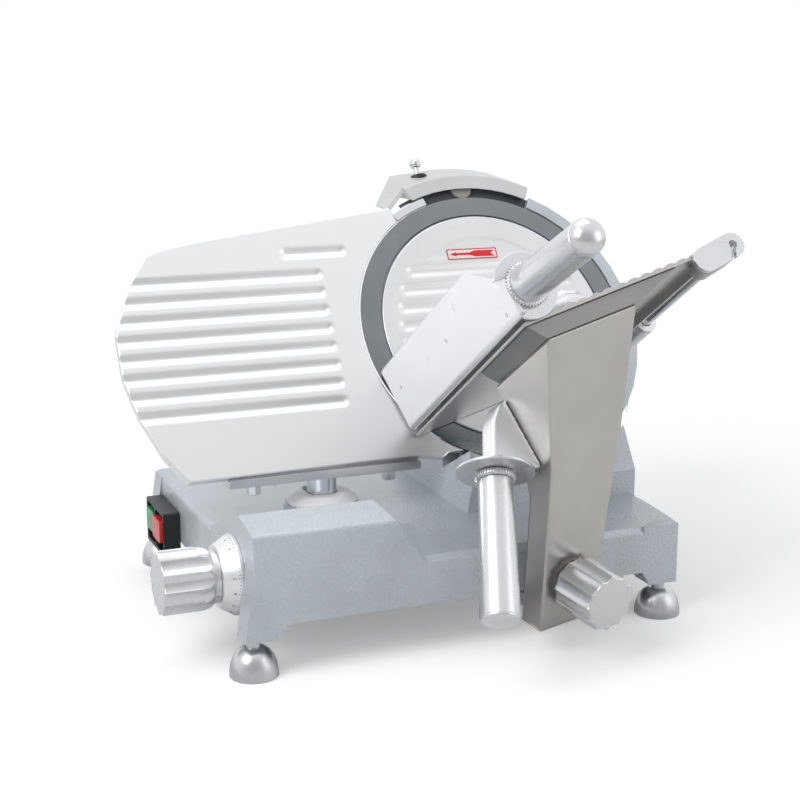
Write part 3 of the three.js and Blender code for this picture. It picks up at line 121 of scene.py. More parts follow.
def axial(origin: Sequence[float], axis: Sequence[float], side: Sequence[float]) -> Place:
    """Makes a place whose z runs along an axis.

    Args:
        origin: The local zero.
        axis: The local z.
        side: A direction near the local x.

    Returns:
        The place, with x squared to the axis.
    """
    z = np.array(axis, float) / np.linalg.norm(axis)
    x = np.array(side, float) - np.dot(side, z) * z
    x /= np.linalg.norm(x)
    return Place(origin, (x, np.cross(z, x), z))


WORLD = Place((0, 0, 0), np.eye(3))
BLADE = Place(
    (0.334, 0.2, 0.265),
    ((1, 0, 0), (0, math.sin(BLADE_TILT), math.cos(BLADE_TILT)),
     (0, -math.cos(BLADE_TILT), math.sin(BLADE_TILT))),
)
TRAY = BLADE.moved((0, 0, 0), TRAY_TURN)
ARM = Place((0.286, -0.0577, 0.026), np.eye(3)).moved((0, 0, 0), ARM_YAW).moved((0, 0, 0), ARM_LEAN, "X")


# Outlines and shells


def ellipse(angle: np.ndarray, across: float, up: float, middle: Sequence[float] = (0, 0)) -> np.ndarray:
    """Returns a point for each angle: the middle plus across times its cosine and up times its sine."""
    return np.stack((middle[0] + across * np.cos(angle), middle[1] + up * np.sin(angle)), 1)


def way_along(line: np.ndarray) -> np.ndarray:
    """Returns how far along a line of points each of them lies."""
    return np.concatenate(([0], np.cumsum(np.linalg.norm(np.diff(line, axis=0), axis=1))))


def read_line(at: np.ndarray, way: np.ndarray, line: np.ndarray) -> np.ndarray:
    """Returns the points of a line at some ways along it, with the way of each of its points."""
    return np.stack([np.interp(at, way, line[:, k]) for k in (0, 1)], 1)


def rounded(corners: Sequence[Sequence[float]], steps: int = 6, closed: bool = True) -> np.ndarray:
    """Lists an outline whose corners may be rounded.

    A rounded corner is the arc that touches both of its sides.

    Args:
        corners: (a, b) or (a, b, radius) for each corner.
        steps: Chords in each arc.
        closed: Whether the last corner joins the first.

    Returns:
        The points, one row each.
    """
    found = []
    for i, corner in enumerate(corners):
        here = np.array(corner[:2], float)
        radius = corner[2] if len(corner) > 2 else 0.0
        if not radius or (not closed and i in (0, len(corners) - 1)):
            found.append(here[None])
            continue
        back = np.array(corners[i - 1][:2], float) - here
        ahead = np.array(corners[(i + 1) % len(corners)][:2], float) - here
        back /= np.linalg.norm(back)
        ahead /= np.linalg.norm(ahead)
        half = math.acos(float(np.clip(back @ ahead, -1, 1))) / 2
        middle = here + (back + ahead) / np.linalg.norm(back + ahead) * radius / math.sin(half)
        start = here + back * radius / math.tan(half) - middle
        end = here + ahead * radius / math.tan(half) - middle
        turn = math.atan2(start[0] * end[1] - start[1] * end[0], float(start @ end))
        angles = math.atan2(start[1], start[0]) + turn * np.linspace(0, 1, steps + 1)
        found.append(ellipse(angles, radius, radius, middle))
    return np.concatenate(found)


@dataclass
class Shell:
    """Points and faces of one or more closed surfaces."""

    points: np.ndarray
    faces: list

    def __add__(self, other: "Shell") -> "Shell":
        """Joins two shells.

        Args:
            other: The shell whose faces come after this one's.

        Returns:
            Both shells as one.
        """
        shift = len(self.points)
        more = [[i + shift for i in face] for face in other.faces]
        return Shell(np.concatenate((self.points, other.points)), self.faces + more)


def grid_shell(points: np.ndarray, around: bool = True, capped: bool = True) -> Shell:
    """Makes a skin over a grid of points.

    Each square of neighbouring points is one face.

    Args:
        points: Rows by columns by 3.
        around: Whether the last column joins the first.
        capped: Whether the first and last rows are closed with a face.

    Returns:
        The shell.
    """
    rows, columns = points.shape[:2]
    index = np.arange(rows * columns).reshape(rows, columns)
    right = np.roll(index, -1, 1) if around else index[:, 1:]
    left = index if around else index[:, :-1]
    quads = np.stack((left[:-1], right[:-1], right[1:], left[1:]), -1).reshape(-1, 4)
    faces = quads.tolist()
    if capped:
        faces += [index[0, ::-1].tolist(), index[-1].tolist()]
    return Shell(points.reshape(-1, 3), faces)


def revolve(profile: np.ndarray, sides: int = 96, reach: Reach | None = None) -> Shell:
    """Turns a profile about the local z.

    A point is (r cos a, r sin a, z), where r is the profile's radius or reach(a, r, z).

    Args:
        profile: (radius, height) rows from the axis and back to it.
        sides: Chords round the axis.
        reach: Changes the radius with the angle, for flutes and knurls.

    Returns:
        The closed shell.
    """
    angle = np.linspace(0, 2 * math.pi, sides, endpoint=False)[None]
    radius = np.repeat(profile[:, :1], sides, 1)
    height = np.repeat(profile[:, 1:], sides, 1)
    if reach:
        radius = reach(angle, radius, height)
    return grid_shell(np.stack((radius * np.cos(angle), radius * np.sin(angle), height), -1), capped=False)


def prism(outline: np.ndarray, start: float, end: float) -> Shell:
    """Carries an outline straight along the local z and closes both ends."""
    rows = [np.column_stack((outline, np.full(len(outline), z))) for z in (start, end)]
    return grid_shell(np.stack(rows))


def sheet(grid: np.ndarray, back: float) -> Shell:
    """Closes a shaped front with straight walls and a flat back.

    Args:
        grid: Rows by columns by 3, the front.
        back: Height of the flat back.

    Returns:
        The closed shell.
    """
    front = grid_shell(grid, around=False, capped=False)
    rows, columns = grid.shape[:2]
    index = np.arange(rows * columns).reshape(rows, columns)
    rim = np.concatenate((index[0, :-1], index[:-1, -1], index[-1, :0:-1], index[:0:-1, 0]))
    low = front.points[rim].copy()
    low[:, 2] = back
    start = len(front.points)
    ring = np.arange(start, start + len(rim))
    walls = np.stack((rim, ring, np.roll(ring, -1), np.roll(rim, -1)), 1).tolist()
    return Shell(np.concatenate((front.points, low)), front.faces + walls + [ring.tolist()])


# Finishes


class Grain(Enum):
    """The fine relief of a surface."""

    HAMMERED = "hammered"
    BRUSHED = "brushed"
    TURNED = "turned"
    CAST = "cast"
    SMOOTH = "smooth"


class Graph:
    """Adds shader nodes and joins them."""

    def __init__(self, tree: bpy.types.NodeTree) -> None:
        """Keeps the tree that the nodes go into."""
        self.tree = tree

    def add(self, kind: str, settings: dict | None = None, **sockets: object) -> bpy.types.Node:
        """Adds a node.

        Args:
            kind: The node's type, without ShaderNode before it.
            settings: Attributes of the node.
            sockets: Values or links for its inputs, with _ for a space and a number for an
                unnamed one, as in in_0.

        Returns:
            The node.
        """
        made = self.tree.nodes.new(f"ShaderNode{kind}")
        for key, value in (settings or {}).items():
            setattr(made, key, value)
        for key, value in sockets.items():
            name = int(key[3:]) if key.startswith("in_") else key.replace("_", " ")
            socket = made.inputs[name]
            if isinstance(value, bpy.types.NodeSocket):
                self.tree.links.new(value, socket)
            else:
                socket.default_value = value
        return made


def fresh_graph(owner: bpy.types.Material | bpy.types.World) -> Graph:
    """Empties the node tree of a material or a world.

    Args:
        owner: The material or the world.

    Returns:
        A graph that adds nodes to it.
    """
    owner.use_nodes = True
    owner.node_tree.nodes.clear()
    return Graph(owner.node_tree)


@dataclass(frozen=True)
class Finish:
    """One surface finish: what it is made of, and its relief and variation."""

    name: str
    slot: str
    colour: tuple[float, float, float]
    metallic: float
    roughness: float
    grain: Grain = Grain.SMOOTH
    feature: float = 0.002
    relief: float = 0.00005
    vary: float = 0.06
    coat: float = 0.0
    place: Place = WORLD
    grain_stretch: float = 60.0
    patch: float = 0.05
    rough_vary: float = 0.07
    relief_share: float = 0.35
    span: tuple[float, float] = (0.4, 0.9)

    def _relief(self, graph: Graph, where: bpy.types.NodeSocket) -> bpy.types.NodeSocket:
        """Builds the height of the fine relief.

        Args:
            graph: The material's nodes.
            where: Object coordinates.

        Returns:
            The height socket, about 0 to 1.
        """
        if self.grain is Grain.BRUSHED:
            scale = (self.feature, self.feature, self.feature * self.grain_stretch)
        else:
            scale = (self.feature,) * 3
        near = graph.add(
            "Mapping", {"vector_type": "TEXTURE"}, Vector=where,
            Location=tuple(self.place.origin), Rotation=self.place.euler(), Scale=scale,
        ).outputs["Vector"]
        if self.grain is Grain.HAMMERED:
            cells = graph.add(
                "TexVoronoi", {"feature": "SMOOTH_F1"}, Vector=near, Scale=1.0, Smoothness=0.6,
            )
            return cells.outputs["Distance"]
        if self.grain is Grain.TURNED:
            flat = graph.add("VectorMath", {"operation": "MULTIPLY"}, in_0=near, in_1=(1, 1, 0))
            ring = graph.add("VectorMath", {"operation": "LENGTH"}, in_0=flat.outputs["Vector"])
            near = graph.add("CombineXYZ", X=ring.outputs["Value"]).outputs["Vector"]
        noise = graph.add("TexNoise", Vector=near, Scale=1.0, Detail=3.0, Roughness=0.6)
        return noise.outputs["Fac"]

    def material(self) -> bpy.types.Material:
        """Makes the material, or finds the one already made.

        Returns:
            The material: a cloud of patches with a share of the relief varies the colour and the
            roughness, and the relief alone drives the bump.
        """
        known = bpy.data.materials.get(self.name)
        if known:
            return known
        made = bpy.data.materials.new(self.name)
        graph = fresh_graph(made)
        where = graph.add("TexCoord").outputs["Object"]
        height = self._relief(graph, where)
        cloud = graph.add(
            "TexNoise", Vector=where, Scale=1 / self.patch, Detail=4.0, Roughness=0.55,
        )
        mixed = graph.add(
            "Math", {"operation": "MULTIPLY_ADD"}, in_0=height, in_1=self.relief_share,
            in_2=cloud.outputs["Fac"],
        )
        ramp = graph.add("ValToRGB", Fac=mixed.outputs["Value"])
        stops = ramp.color_ramp.elements
        stops[0].position, stops[1].position = self.span
        stops[0].color = (*[c * (1 - self.vary) for c in self.colour], 1)
        stops[1].color = (*[min(1.0, c * (1 + self.vary)) for c in self.colour], 1)
        rough = graph.add(
            "MapRange", Value=mixed.outputs["Value"], From_Min=self.span[0], From_Max=self.span[1],
            To_Min=self.roughness - self.rough_vary, To_Max=self.roughness + self.rough_vary,
        )
        bump = graph.add("Bump", Height=height, Strength=1.0, Distance=self.relief)
        shader = graph.add(
            "BsdfPrincipled", Base_Color=ramp.outputs["Color"], Metallic=self.metallic,
            Roughness=rough.outputs["Result"], Normal=bump.outputs["Normal"], Coat_Weight=self.coat,
        )
        graph.add("OutputMaterial", Surface=shader.outputs["BSDF"])
        return made


HAMMERTONE = Finish(
    "silver_hammertone", "cast_paint", (0.52, 0.565, 0.605), 0.35, 0.4, Grain.HAMMERED, 0.0024, 0.00042,
    0.09, coat=0.2,
)
LIGHT_ENAMEL = Finish(
    "light_grey_enamel", "light_paint", (0.60, 0.61, 0.62), 0.1, 0.38, feature=0.0012, coat=0.2,
)
DARK_ENAMEL = Finish("dark_grey_enamel", "dark_guard", (0.07, 0.08, 0.09), 0.3, 0.42)
MOTOR_ENAMEL = Finish("motor_enamel", "motor_paint", (0.06, 0.065, 0.075), 0.2, 0.5, Grain.CAST, 0.0012)
CHROME = Finish(
    "polished_chrome", "chrome", (0.70, 0.72, 0.74), 1.0, 0.12, Grain.SMOOTH, 0.0008, 0.00001, 0.05,
    rough_vary=0.04,
)
BAR_CHROME = Finish("ground_bar", "chrome", (0.62, 0.63, 0.64), 0.95, 0.2, Grain.CAST, 0.0012, 0.00006, 0.12)
BELL = Finish("brushed_bell", "chrome", (0.62, 0.635, 0.655), 0.95, 0.27, Grain.CAST, 0.0006, 0.00002, 0.08)
# Painted shade: the cradle's stainless is painted much darker than the arm's to stand in for the shadow that
# the tray and the block cast on it.
PAINTED_SHADE_STAINLESS = Finish(
    "cradle_stainless_painted_shade", "stainless", (0.30, 0.30, 0.29), 0.9, 0.34, Grain.CAST, 0.0009, 0.00003, 0.08,
)
STEEL = Finish("machined_steel", "steel", (0.45, 0.45, 0.44), 0.9, 0.36, Grain.CAST, 0.0014, 0.0001, 0.12)
STAINLESS = Finish(
    "brushed_stainless", "stainless", (0.52, 0.51, 0.485), 0.9, 0.33, Grain.BRUSHED, 0.0006, 0.00004, 0.07,
    place=ARM, rough_vary=0.05,
)
TRAY_STAINLESS = Finish(
    "brushed_tray_stainless", "stainless", (0.50, 0.495, 0.475), 0.9, 0.34, Grain.BRUSHED, 0.0006,
    0.00004, 0.07, place=TRAY, rough_vary=0.05,
)
SATIN = Finish(
    "satin_aluminium", "satin_aluminium", (0.67, 0.685, 0.705), 0.5, 0.38, Grain.CAST, 0.0009, 0.00003, 0.035,
    rough_vary=0.04,
)
COVER_SATIN = Finish(
    "cover_aluminium", "satin_aluminium", (0.76, 0.77, 0.785), 0.95, 0.3, Grain.CAST, 0.0009, 0.00003, 0.03,
    place=BLADE, rough_vary=0.04,
)
TURNED_SATIN = Finish(
    "turned_aluminium", "satin_aluminium", (0.69, 0.705, 0.72), 0.9, 0.27, Grain.CAST, 0.0008, 0.000008, 0.05,
    rough_vary=0.05,
)
CAST = Finish(
    "cast_aluminium", "cast_aluminium", (0.55, 0.57, 0.59), 0.7, 0.38, Grain.CAST, 0.0016, 0.00012, 0.06,
)
BLADE_STEEL = Finish(
    "ground_blade_steel", "blade_steel", (0.23, 0.25, 0.27), 0.95, 0.24, Grain.TURNED, 0.0009, 0.00003, 0.08,
    place=BLADE, rough_vary=0.05,
)
WHITE_METAL = Finish(
    "white_silver_anodised", "white_aluminium", (0.90, 0.915, 0.925), 0.3, 0.32, feature=0.001,
    relief=0.00001, vary=0.02,
)
WHITE_PLASTIC = Finish(
    "white_moulding", "white_plastic", (0.74, 0.75, 0.76), 0.0, 0.38, feature=0.001, vary=0.03,
)
BLACK_PLASTIC = Finish(
    "black_moulding", "black_plastic", (0.012, 0.012, 0.013), 0.0, 0.42, Grain.CAST, 0.0008,
)
RUBBER = Finish("belt_rubber", "belt_rubber", (0.015, 0.015, 0.015), 0.0, 0.7, Grain.CAST, 0.001)
RED_CAP = Finish("red_cap", "red_plastic", (0.62, 0.03, 0.045), 0.0, 0.32, vary=0.05, coat=0.2)
GREEN_CAP = Finish("green_cap", "green_plastic", (0.03, 0.27, 0.10), 0.0, 0.32, vary=0.05, coat=0.2)
GRIT = Finish("stone_grit", "stone_grit", (0.10, 0.09, 0.08), 0.0, 0.9, Grain.HAMMERED, 0.0008, 0.0003, 0.3)
WHITE_INK = Finish("white_ink", "white_plastic", (0.80, 0.80, 0.80), 0.0, 0.4, vary=0.02)
RED_INK = Finish("red_ink", "red_plastic", (0.70, 0.02, 0.02), 0.0, 0.35, vary=0.04)
BLACK_INK = Finish("black_ink", "black_plastic", (0.03, 0.03, 0.035), 0.0, 0.5, vary=0.1)


# Pieces


def dress(made: bpy.types.Object, finish: Finish, body: str, nodes: Sequence[str]) -> bpy.types.Object:
    """Gives a piece its finish, its body and the nodes that it stands for.

    Args:
        made: The finished object.
        finish: Its surface.
        body: The body that it rides on.
        nodes: Nodes of the frame that it replaces.

    Returns:
        The same object.
    """
    made.data.materials.clear()
    made.data.materials.append(finish.material())
    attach(made, body)
    if nodes:
        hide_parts(*nodes)
    LOG.info("%s: %d faces", made.name, len(made.data.polygons))
    return made


def new_object(name: str, data: bpy.types.ID) -> bpy.types.Object:
    """Links a mesh, a curve, a lamp or a camera into the scene.

    Args:
        name: The name of the new object.
        data: What it shows.

    Returns:
        The object.
    """
    made = bpy.data.objects.new(name, data)
    bpy.context.scene.collection.objects.link(made)
    return made


def soften(made: bpy.types.Object, width: float, segments: int = 2, clamp: bool = True) -> None:
    """Rounds the marked edges of a piece and evens its shading.

    Args:
        made: The object.
        width: The width of the rounding.
        segments: Its chords.
        clamp: Whether the rounding shrinks to what the shortest edge allows.
    """
    made.data.shade_smooth()
    bevel = made.modifiers.new("edges", "BEVEL")
    bevel.width, bevel.segments, bevel.limit_method = width, segments, "WEIGHT"
    bevel.use_clamp_overlap = clamp
    bevel.loop_slide = True
    normals = made.modifiers.new("normals", "WEIGHTED_NORMAL")
    normals.weight, normals.keep_sharp = 60, False


def weigh_edges(mesh: bmesh.types.BMesh, angle: float, shortest: float) -> None:
    """Marks the edges to round.

    Args:
        mesh: The mesh whose edges get their weights.
        angle: An edge is rounded if its faces turn more than this.
        shortest: An edge up to this length isn't rounded.
    """
    layers = mesh.edges.layers.float
    layer = layers.get("bevel_weight_edge") or layers.new("bevel_weight_edge")
    for edge in mesh.edges:
        wide = edge.is_manifold and edge.calc_face_angle(0.0) > angle and edge.calc_length() > shortest
        edge[layer] = 1.0 if wide else 0.0


def piece(
    name: str, shell: Shell, place: Place, finish: Finish, body: str, nodes: Sequence[str] = (),
    crease: float = 35, edge: float = 0.0,
) -> bpy.types.Object:
    """Makes one finished piece from a shell.

    Args:
        name: Its name.
        shell: Its surface in local coordinates.
        place: Where the local zero and axes lie.
        finish: Its surface finish.
        body: The body that it rides on.
        nodes: Nodes of the frame that it replaces.
        crease: The least angle in degrees that stays sharp.
        edge: The width of the rounding on its sharp edges, or 0.

    Returns:
        The object.
    """
    data = bpy.data.meshes.new(name)
    data.from_pydata(place.carry(shell.points).tolist(), [], shell.faces)
    mesh = bmesh.new()
    mesh.from_mesh(data)
    bmesh.ops.remove_doubles(mesh, verts=mesh.verts, dist=MERGE)
    bmesh.ops.recalc_face_normals(mesh, faces=mesh.faces)
    if edge:
        weigh_edges(mesh, math.radians(crease), edge)
    mesh.to_mesh(data)
    mesh.free()
    made = new_object(name, data)
    if edge:
        soften(made, edge)
    else:
        data.shade_smooth()
        data.set_sharp_from_angle(angle=math.radians(crease))
    return dress(made, finish, body, nodes)


BODY_OF = {node: body for body, nodes in frame["record"]["behaviour"]["bodies"].items() for node in nodes}


def refined(
    node: str, finish: Finish, width: float = 0.0006, crease: float = 20, shortest: float = 0.0,
    segments: int = 2, clamp: bool = True, reshape: Reshape | None = None,
) -> bpy.types.Object:
    """Makes a piece from a node's own solid, with its flats joined and its edges rounded.

    Args:
        node: The node of the frame.
        finish: Its surface finish.
        width: The width of the rounding.
        crease: The least angle in degrees that is rounded.
        shortest: The shortest edge that is rounded.
        segments: Chords of the rounding.
        clamp: Whether the rounding shrinks to what the shortest edge allows.
        reshape: Moves the points of the solid first.

    Returns:
        The object.
    """
    data = frame["nodes"][node].data.copy()
    if reshape:
        points = np.zeros(len(data.vertices) * 3)
        data.vertices.foreach_get("co", points)
        data.vertices.foreach_set("co", reshape(points.reshape(-1, 3)).ravel())
    mesh = bmesh.new()
    mesh.from_mesh(data)
    bmesh.ops.remove_doubles(mesh, verts=mesh.verts, dist=WELD)
    bmesh.ops.dissolve_degenerate(mesh, dist=WELD, edges=mesh.edges)
    bmesh.ops.dissolve_limit(mesh, angle_limit=FLAT, verts=mesh.verts, edges=mesh.edges)
    weigh_edges(mesh, math.radians(crease), shortest)
    mesh.to_mesh(data)
    mesh.free()
    made = new_object(f"{node}_surface", data)
    soften(made, width, segments, clamp)
    return dress(made, finish, BODY_OF[node], [node])


def soft_step(value: np.ndarray) -> np.ndarray:
    """Returns 0 to 1 with flat ends: 3 v^2 - 2 v^3 of the clipped value."""
    v = np.clip(value, 0, 1)
    return v * v * (3 - 2 * v)


def groove(x: np.ndarray, y: np.ndarray, ends: tuple[float, float], level: float, half: float) -> np.ndarray:
    """Works out a pressed groove: the squared cosine of the distance to its middle line.

    Args:
        x: Places along it.
        y: Places across it.
        ends: Where its middle line starts and ends.
        level: Where it lies across.
        half: Its half width.

    Returns:
        Its depth as a share, 1 on the middle line.
    """
    past = np.maximum(np.maximum(ends[0] - x, x - ends[1]), 0)
    away = np.clip(np.hypot(past, y - level) / half, 0, 1)
    return np.cos(away * math.pi / 2) ** 2


def fluted(count: int, depth: float, full: float, front: float, rim: float) -> Reach:
    """Makes a reach for revolve with shallow hollows between narrow lands.

    No radius passes full - depth * |sin(count a / 2)|^0.7, less a quarter round at the front,
    so that the hollows run out in arches where the body grows thinner.

    Args:
        count: Hollows round the grip.
        depth: Their depth.
        full: The radius of the lands.
        front: The height of the front face.
        rim: The rounding between that face and the hollows.

    Returns:
        The function of angle, radius and height.
    """
    def reach(angle: np.ndarray, radius: np.ndarray, height: np.ndarray) -> np.ndarray:
        """Holds the radius within the hollows.

        Args:
            angle: The angle about the axis.
            radius: The radius of the profile.
            height: The height along the axis.

        Returns:
            The radius of each point.
        """
        hollow = np.abs(np.sin(count * angle / 2)) ** 0.7
        near = 1 - np.clip(np.abs(height - front) / rim, 0, 1)
        return np.minimum(radius, full - depth * hollow - rim * (1 - np.sqrt(1 - near ** 2)))
    return reach


# Sub-assemblies


@dataclass
class Feet:
    """Four bell-shaped feet on threaded necks."""

    radius: float = 0.0225
    rim: float = 0.0012
    top: float = 0.0275
    neck: float = 0.0065
    neck_top: float = 0.0357
    span_x: float = 0.42
    span_y: float = 0.34

    def build(self) -> None:
        """Makes each foot: a rim, a bell that closes as a quarter ellipse, and its neck."""
        angle = np.linspace(0, math.pi / 2, 25)
        bell = ellipse(angle, self.radius - self.neck, self.top - self.rim, (self.neck, self.rim))
        base = np.array([(0, 0), (self.radius - self.rim / 3, 0), (self.radius, self.rim / 3)])
        neck = np.array([(self.neck, self.neck_top), (0, self.neck_top)])
        shell = revolve(np.concatenate((base, bell, neck)))
        spots = {
            "foot_front_left": (0, 0), "foot_front_right": (self.span_x, 0),
            "foot_back_left": (0, self.span_y), "foot_back_right": (self.span_x, self.span_y),
        }
        for node, (x, y) in spots.items():
            piece(f"{node}_bell", shell, WORLD.moved((x, y, 0)), BELL, "root", [node], crease=40)


@dataclass
class Base:
    """The painted base casting and what is fixed to it.

    The slope values bound the front of the deck and give its heights at the back and the front.
    """

    edge: float = 0.0007
    slope_back: float = 0.069
    slope_front: float = -0.016
    slope_right: float = 0.155
    slope_high: float = 0.104
    slope_low: float = 0.0936
    lift: float = 0.0026
    slope_reach: float = 0.0008
    corner_front: float = 0.0125
    corner_top: float = 0.1
    corner_reach: float = 0.0002
    button_middle: float = 0.058
    button_up: float = 0.003
    button_share: float = 0.6
    button_out: float = 0.0024
    housing_out: float = 0.004
    housing_face: float = -0.01

    def level(self, points: np.ndarray) -> np.ndarray:
        """Lifts the front of the deck, so that its edge runs on level over the right corner.

        Args:
            points: Points of the casting in the machine.

        Returns:
            The points, with those of the sloping deck and the corner block's top on one slope.
        """
        moved = points.copy()
        x, y, z = points.T
        share = np.clip((self.slope_back - y) / (self.slope_back - self.slope_front), 0, 1)
        old = self.slope_high - (self.slope_high - self.slope_low) * share
        new = old + self.lift * share
        on_deck = (x > self.slope_right) & (y < self.slope_back) & (np.abs(z - old) < self.slope_reach)
        corner = (x > self.slope_right) & (y < self.corner_front)
        corner &= np.abs(z - self.corner_top) < self.corner_reach
        moved[:, 2] = np.where(on_deck | corner, new, z)
        return moved

    def shrink(self, points: np.ndarray) -> np.ndarray:
        """Makes a switch button shorter and sets it further out.

        Args:
            points: Points of the button in the machine.

        Returns:
            The moved points.
        """
        moved = points.copy()
        share = self.button_share * (points[:, 2] - self.button_middle)
        moved[:, 2] = self.button_middle + self.button_up + share
        moved[:, 0] -= self.button_out
        return moved

    def deepen(self, points: np.ndarray) -> np.ndarray:
        """Sets the face of the switch housing further out.

        Args:
            points: Points of the housing in the machine.

        Returns:
            The moved points.
        """
        moved = points.copy()
        moved[:, 0] -= self.housing_out * (points[:, 0] < self.housing_face)
        return moved

    def build(self) -> None:
        """Dresses the casting, the rail, the guide rod and the switch."""
        refined("base_casting", HAMMERTONE, self.edge, 30, 0.001, 3, reshape=self.level)
        refined("carriage_rail", STEEL, 0.0008)
        refined("gauge_guide_rod", STEEL)
        refined("column_collar", WHITE_PLASTIC, 0.001)
        refined("switch_housing", BLACK_PLASTIC, 0.0012, reshape=self.deepen)
        for node, finish in (("stop_button", RED_CAP), ("start_button", GREEN_CAP)):
            refined(node, finish, 0.0012, reshape=self.shrink)


@dataclass
class ThicknessKnob:
    """The fluted knob with its numbered dial, shaft and scroll cam, about an axis along X."""

    y: float = 0.05
    z: float = 0.08
    radius: float = 0.03
    front: float = -0.074
    rim: float = 0.0012
    flute_end: float = -0.041
    collar: float = -0.0255
    back: float = -0.0203
    throat: float = 0.0245
    flutes: int = 12
    flute: float = 0.0036
    dial_small: float = 0.029
    dial_radius: float = 0.038
    dial_front: float = -0.02
    dial_rim: float = -0.0053
    dial_back: float = -0.0023
    numbers: int = 15
    tick: float = 0.0022
    long_tick: float = 0.0038
    tick_start: float = 0.0008
    tick_half: float = 0.00022
    digit: float = 0.0046
    digit_gap: float = 0.0012
    digit_ring: float = 0.9
    digit_lift: float = 0.00002
    ink: float = 0.00008
    ink_sink: float = -0.0001

    def build(self) -> None:
        """Makes the knob, the dial with its ticks and numbers, and dresses what is inside."""
        self.place = Place((0, self.y, self.z), ((0, 1, 0), (0, 0, 1), (1, 0, 0)))
        turn = np.linspace(0, math.pi / 2, 8)
        rim = np.stack((
            self.radius - self.rim * (1 - np.sin(turn)), self.front + self.rim * (1 - np.cos(turn)),
        ), 1)
        side = np.linspace(self.front + self.rim, self.flute_end, 24)[1:]
        neck = ellipse(
            turn, self.radius - self.throat, self.collar - self.flute_end, (self.throat, self.flute_end),
        )[1:]
        profile = np.concatenate((
            [(0, self.front)], rim, np.stack((np.full(len(side), self.radius), side), 1), neck,
            [(self.throat, self.back), (0, self.back)],
        ))
        reach = fluted(self.flutes, self.flute, self.radius, self.front, self.rim)
        piece("thickness_knob_grip", revolve(profile, 240, reach), self.place, TURNED_SATIN,
              "thickness_control", ["thickness_knob"], crease=40)
        cone = rounded([
            (0, self.dial_front), (self.dial_small, self.dial_front, 0.0006),
            (self.dial_radius, self.dial_rim, 0.001), (self.dial_radius, self.dial_back), (0, self.dial_back),
        ], closed=False)
        piece("dial_cone", revolve(cone, 160), self.place, SATIN, "thickness_control", ["thickness_dial"])
        self.build_marks()
        refined("knob_shaft", STEEL)
        refined("scroll_cam", CAST)

    def on_cone(self, flat: np.ndarray, lift: float) -> np.ndarray:
        """Wraps flat marks on the cone.

        Across becomes the angle times the radius there, and up becomes the way along the slant.

        Args:
            flat: Angle, way up from the rim as a share of the slant, and height of each point.
            lift: Height over the cone.

        Returns:
            The points in local coordinates.
        """
        rise = self.dial_small - self.dial_radius
        run = self.dial_front - self.dial_rim
        slant = math.hypot(rise, run)
        along = flat[:, 1] / slant
        out = np.array((-run, rise)) / slant
        height = flat[:, 2] + lift
        radius = self.dial_radius + rise * along + out[0] * height
        z = self.dial_rim + run * along + out[1] * height
        return np.stack((radius * np.cos(flat[:, 0]), radius * np.sin(flat[:, 0]), z), 1)

    def build_marks(self) -> None:
        """Makes the dial's ticks and numbers as thin raised ink."""
        shells = Shell(np.zeros((0, 3)), [])
        ticks = self.numbers * 5
        for i in range(ticks):
            angle = 2 * math.pi * i / ticks
            tall = self.long_tick if i % 5 == 0 else self.tick
            half = self.tick_half / self.dial_radius
            outline = np.array([
                (angle - half, self.tick_start), (angle + half, self.tick_start), (angle + half, tall),
                (angle - half, tall),
            ])
            mark = prism(outline, self.ink_sink, self.ink)
            shells = shells + Shell(self.on_cone(mark.points, 0), mark.faces)
        for i in range(self.numbers):
            text = glyphs(str(i), self.digit, self.ink)
            x, y, z = text.points.T
            off = (x - (x.max() + x.min()) / 2) / (self.dial_radius * self.digit_ring)
            flat = np.stack((2 * math.pi * i / self.numbers - off, y + self.long_tick + self.digit_gap, z), 1)
            shells = shells + Shell(self.on_cone(flat, self.digit_lift), text.faces)
        piece("dial_marks", shells, self.place, BLACK_INK, "thickness_control")


def glyphs(text: str, size: float, depth: float) -> Shell:
    """Makes plain characters as a thin solid.

    Args:
        text: The characters.
        size: Their height.
        depth: Their thickness.

    Returns:
        The shell, with its lower left corner near the local zero.
    """
    curve = bpy.data.curves.new("glyphs", "FONT")
    curve.body, curve.size, curve.extrude, curve.resolution_u = text, size, depth / 2, 3
    holder = new_object("glyphs", curve)
    bpy.context.view_layer.update()
    mesh = bpy.data.meshes.new_from_object(holder)
    points = np.zeros(len(mesh.vertices) * 3)
    mesh.vertices.foreach_get("co", points)
    shell = Shell(points.reshape(-1, 3), [list(face.vertices) for face in mesh.polygons])
    bpy.data.objects.remove(holder)
    bpy.data.curves.remove(curve)
    bpy.data.meshes.remove(mesh)
    return shell


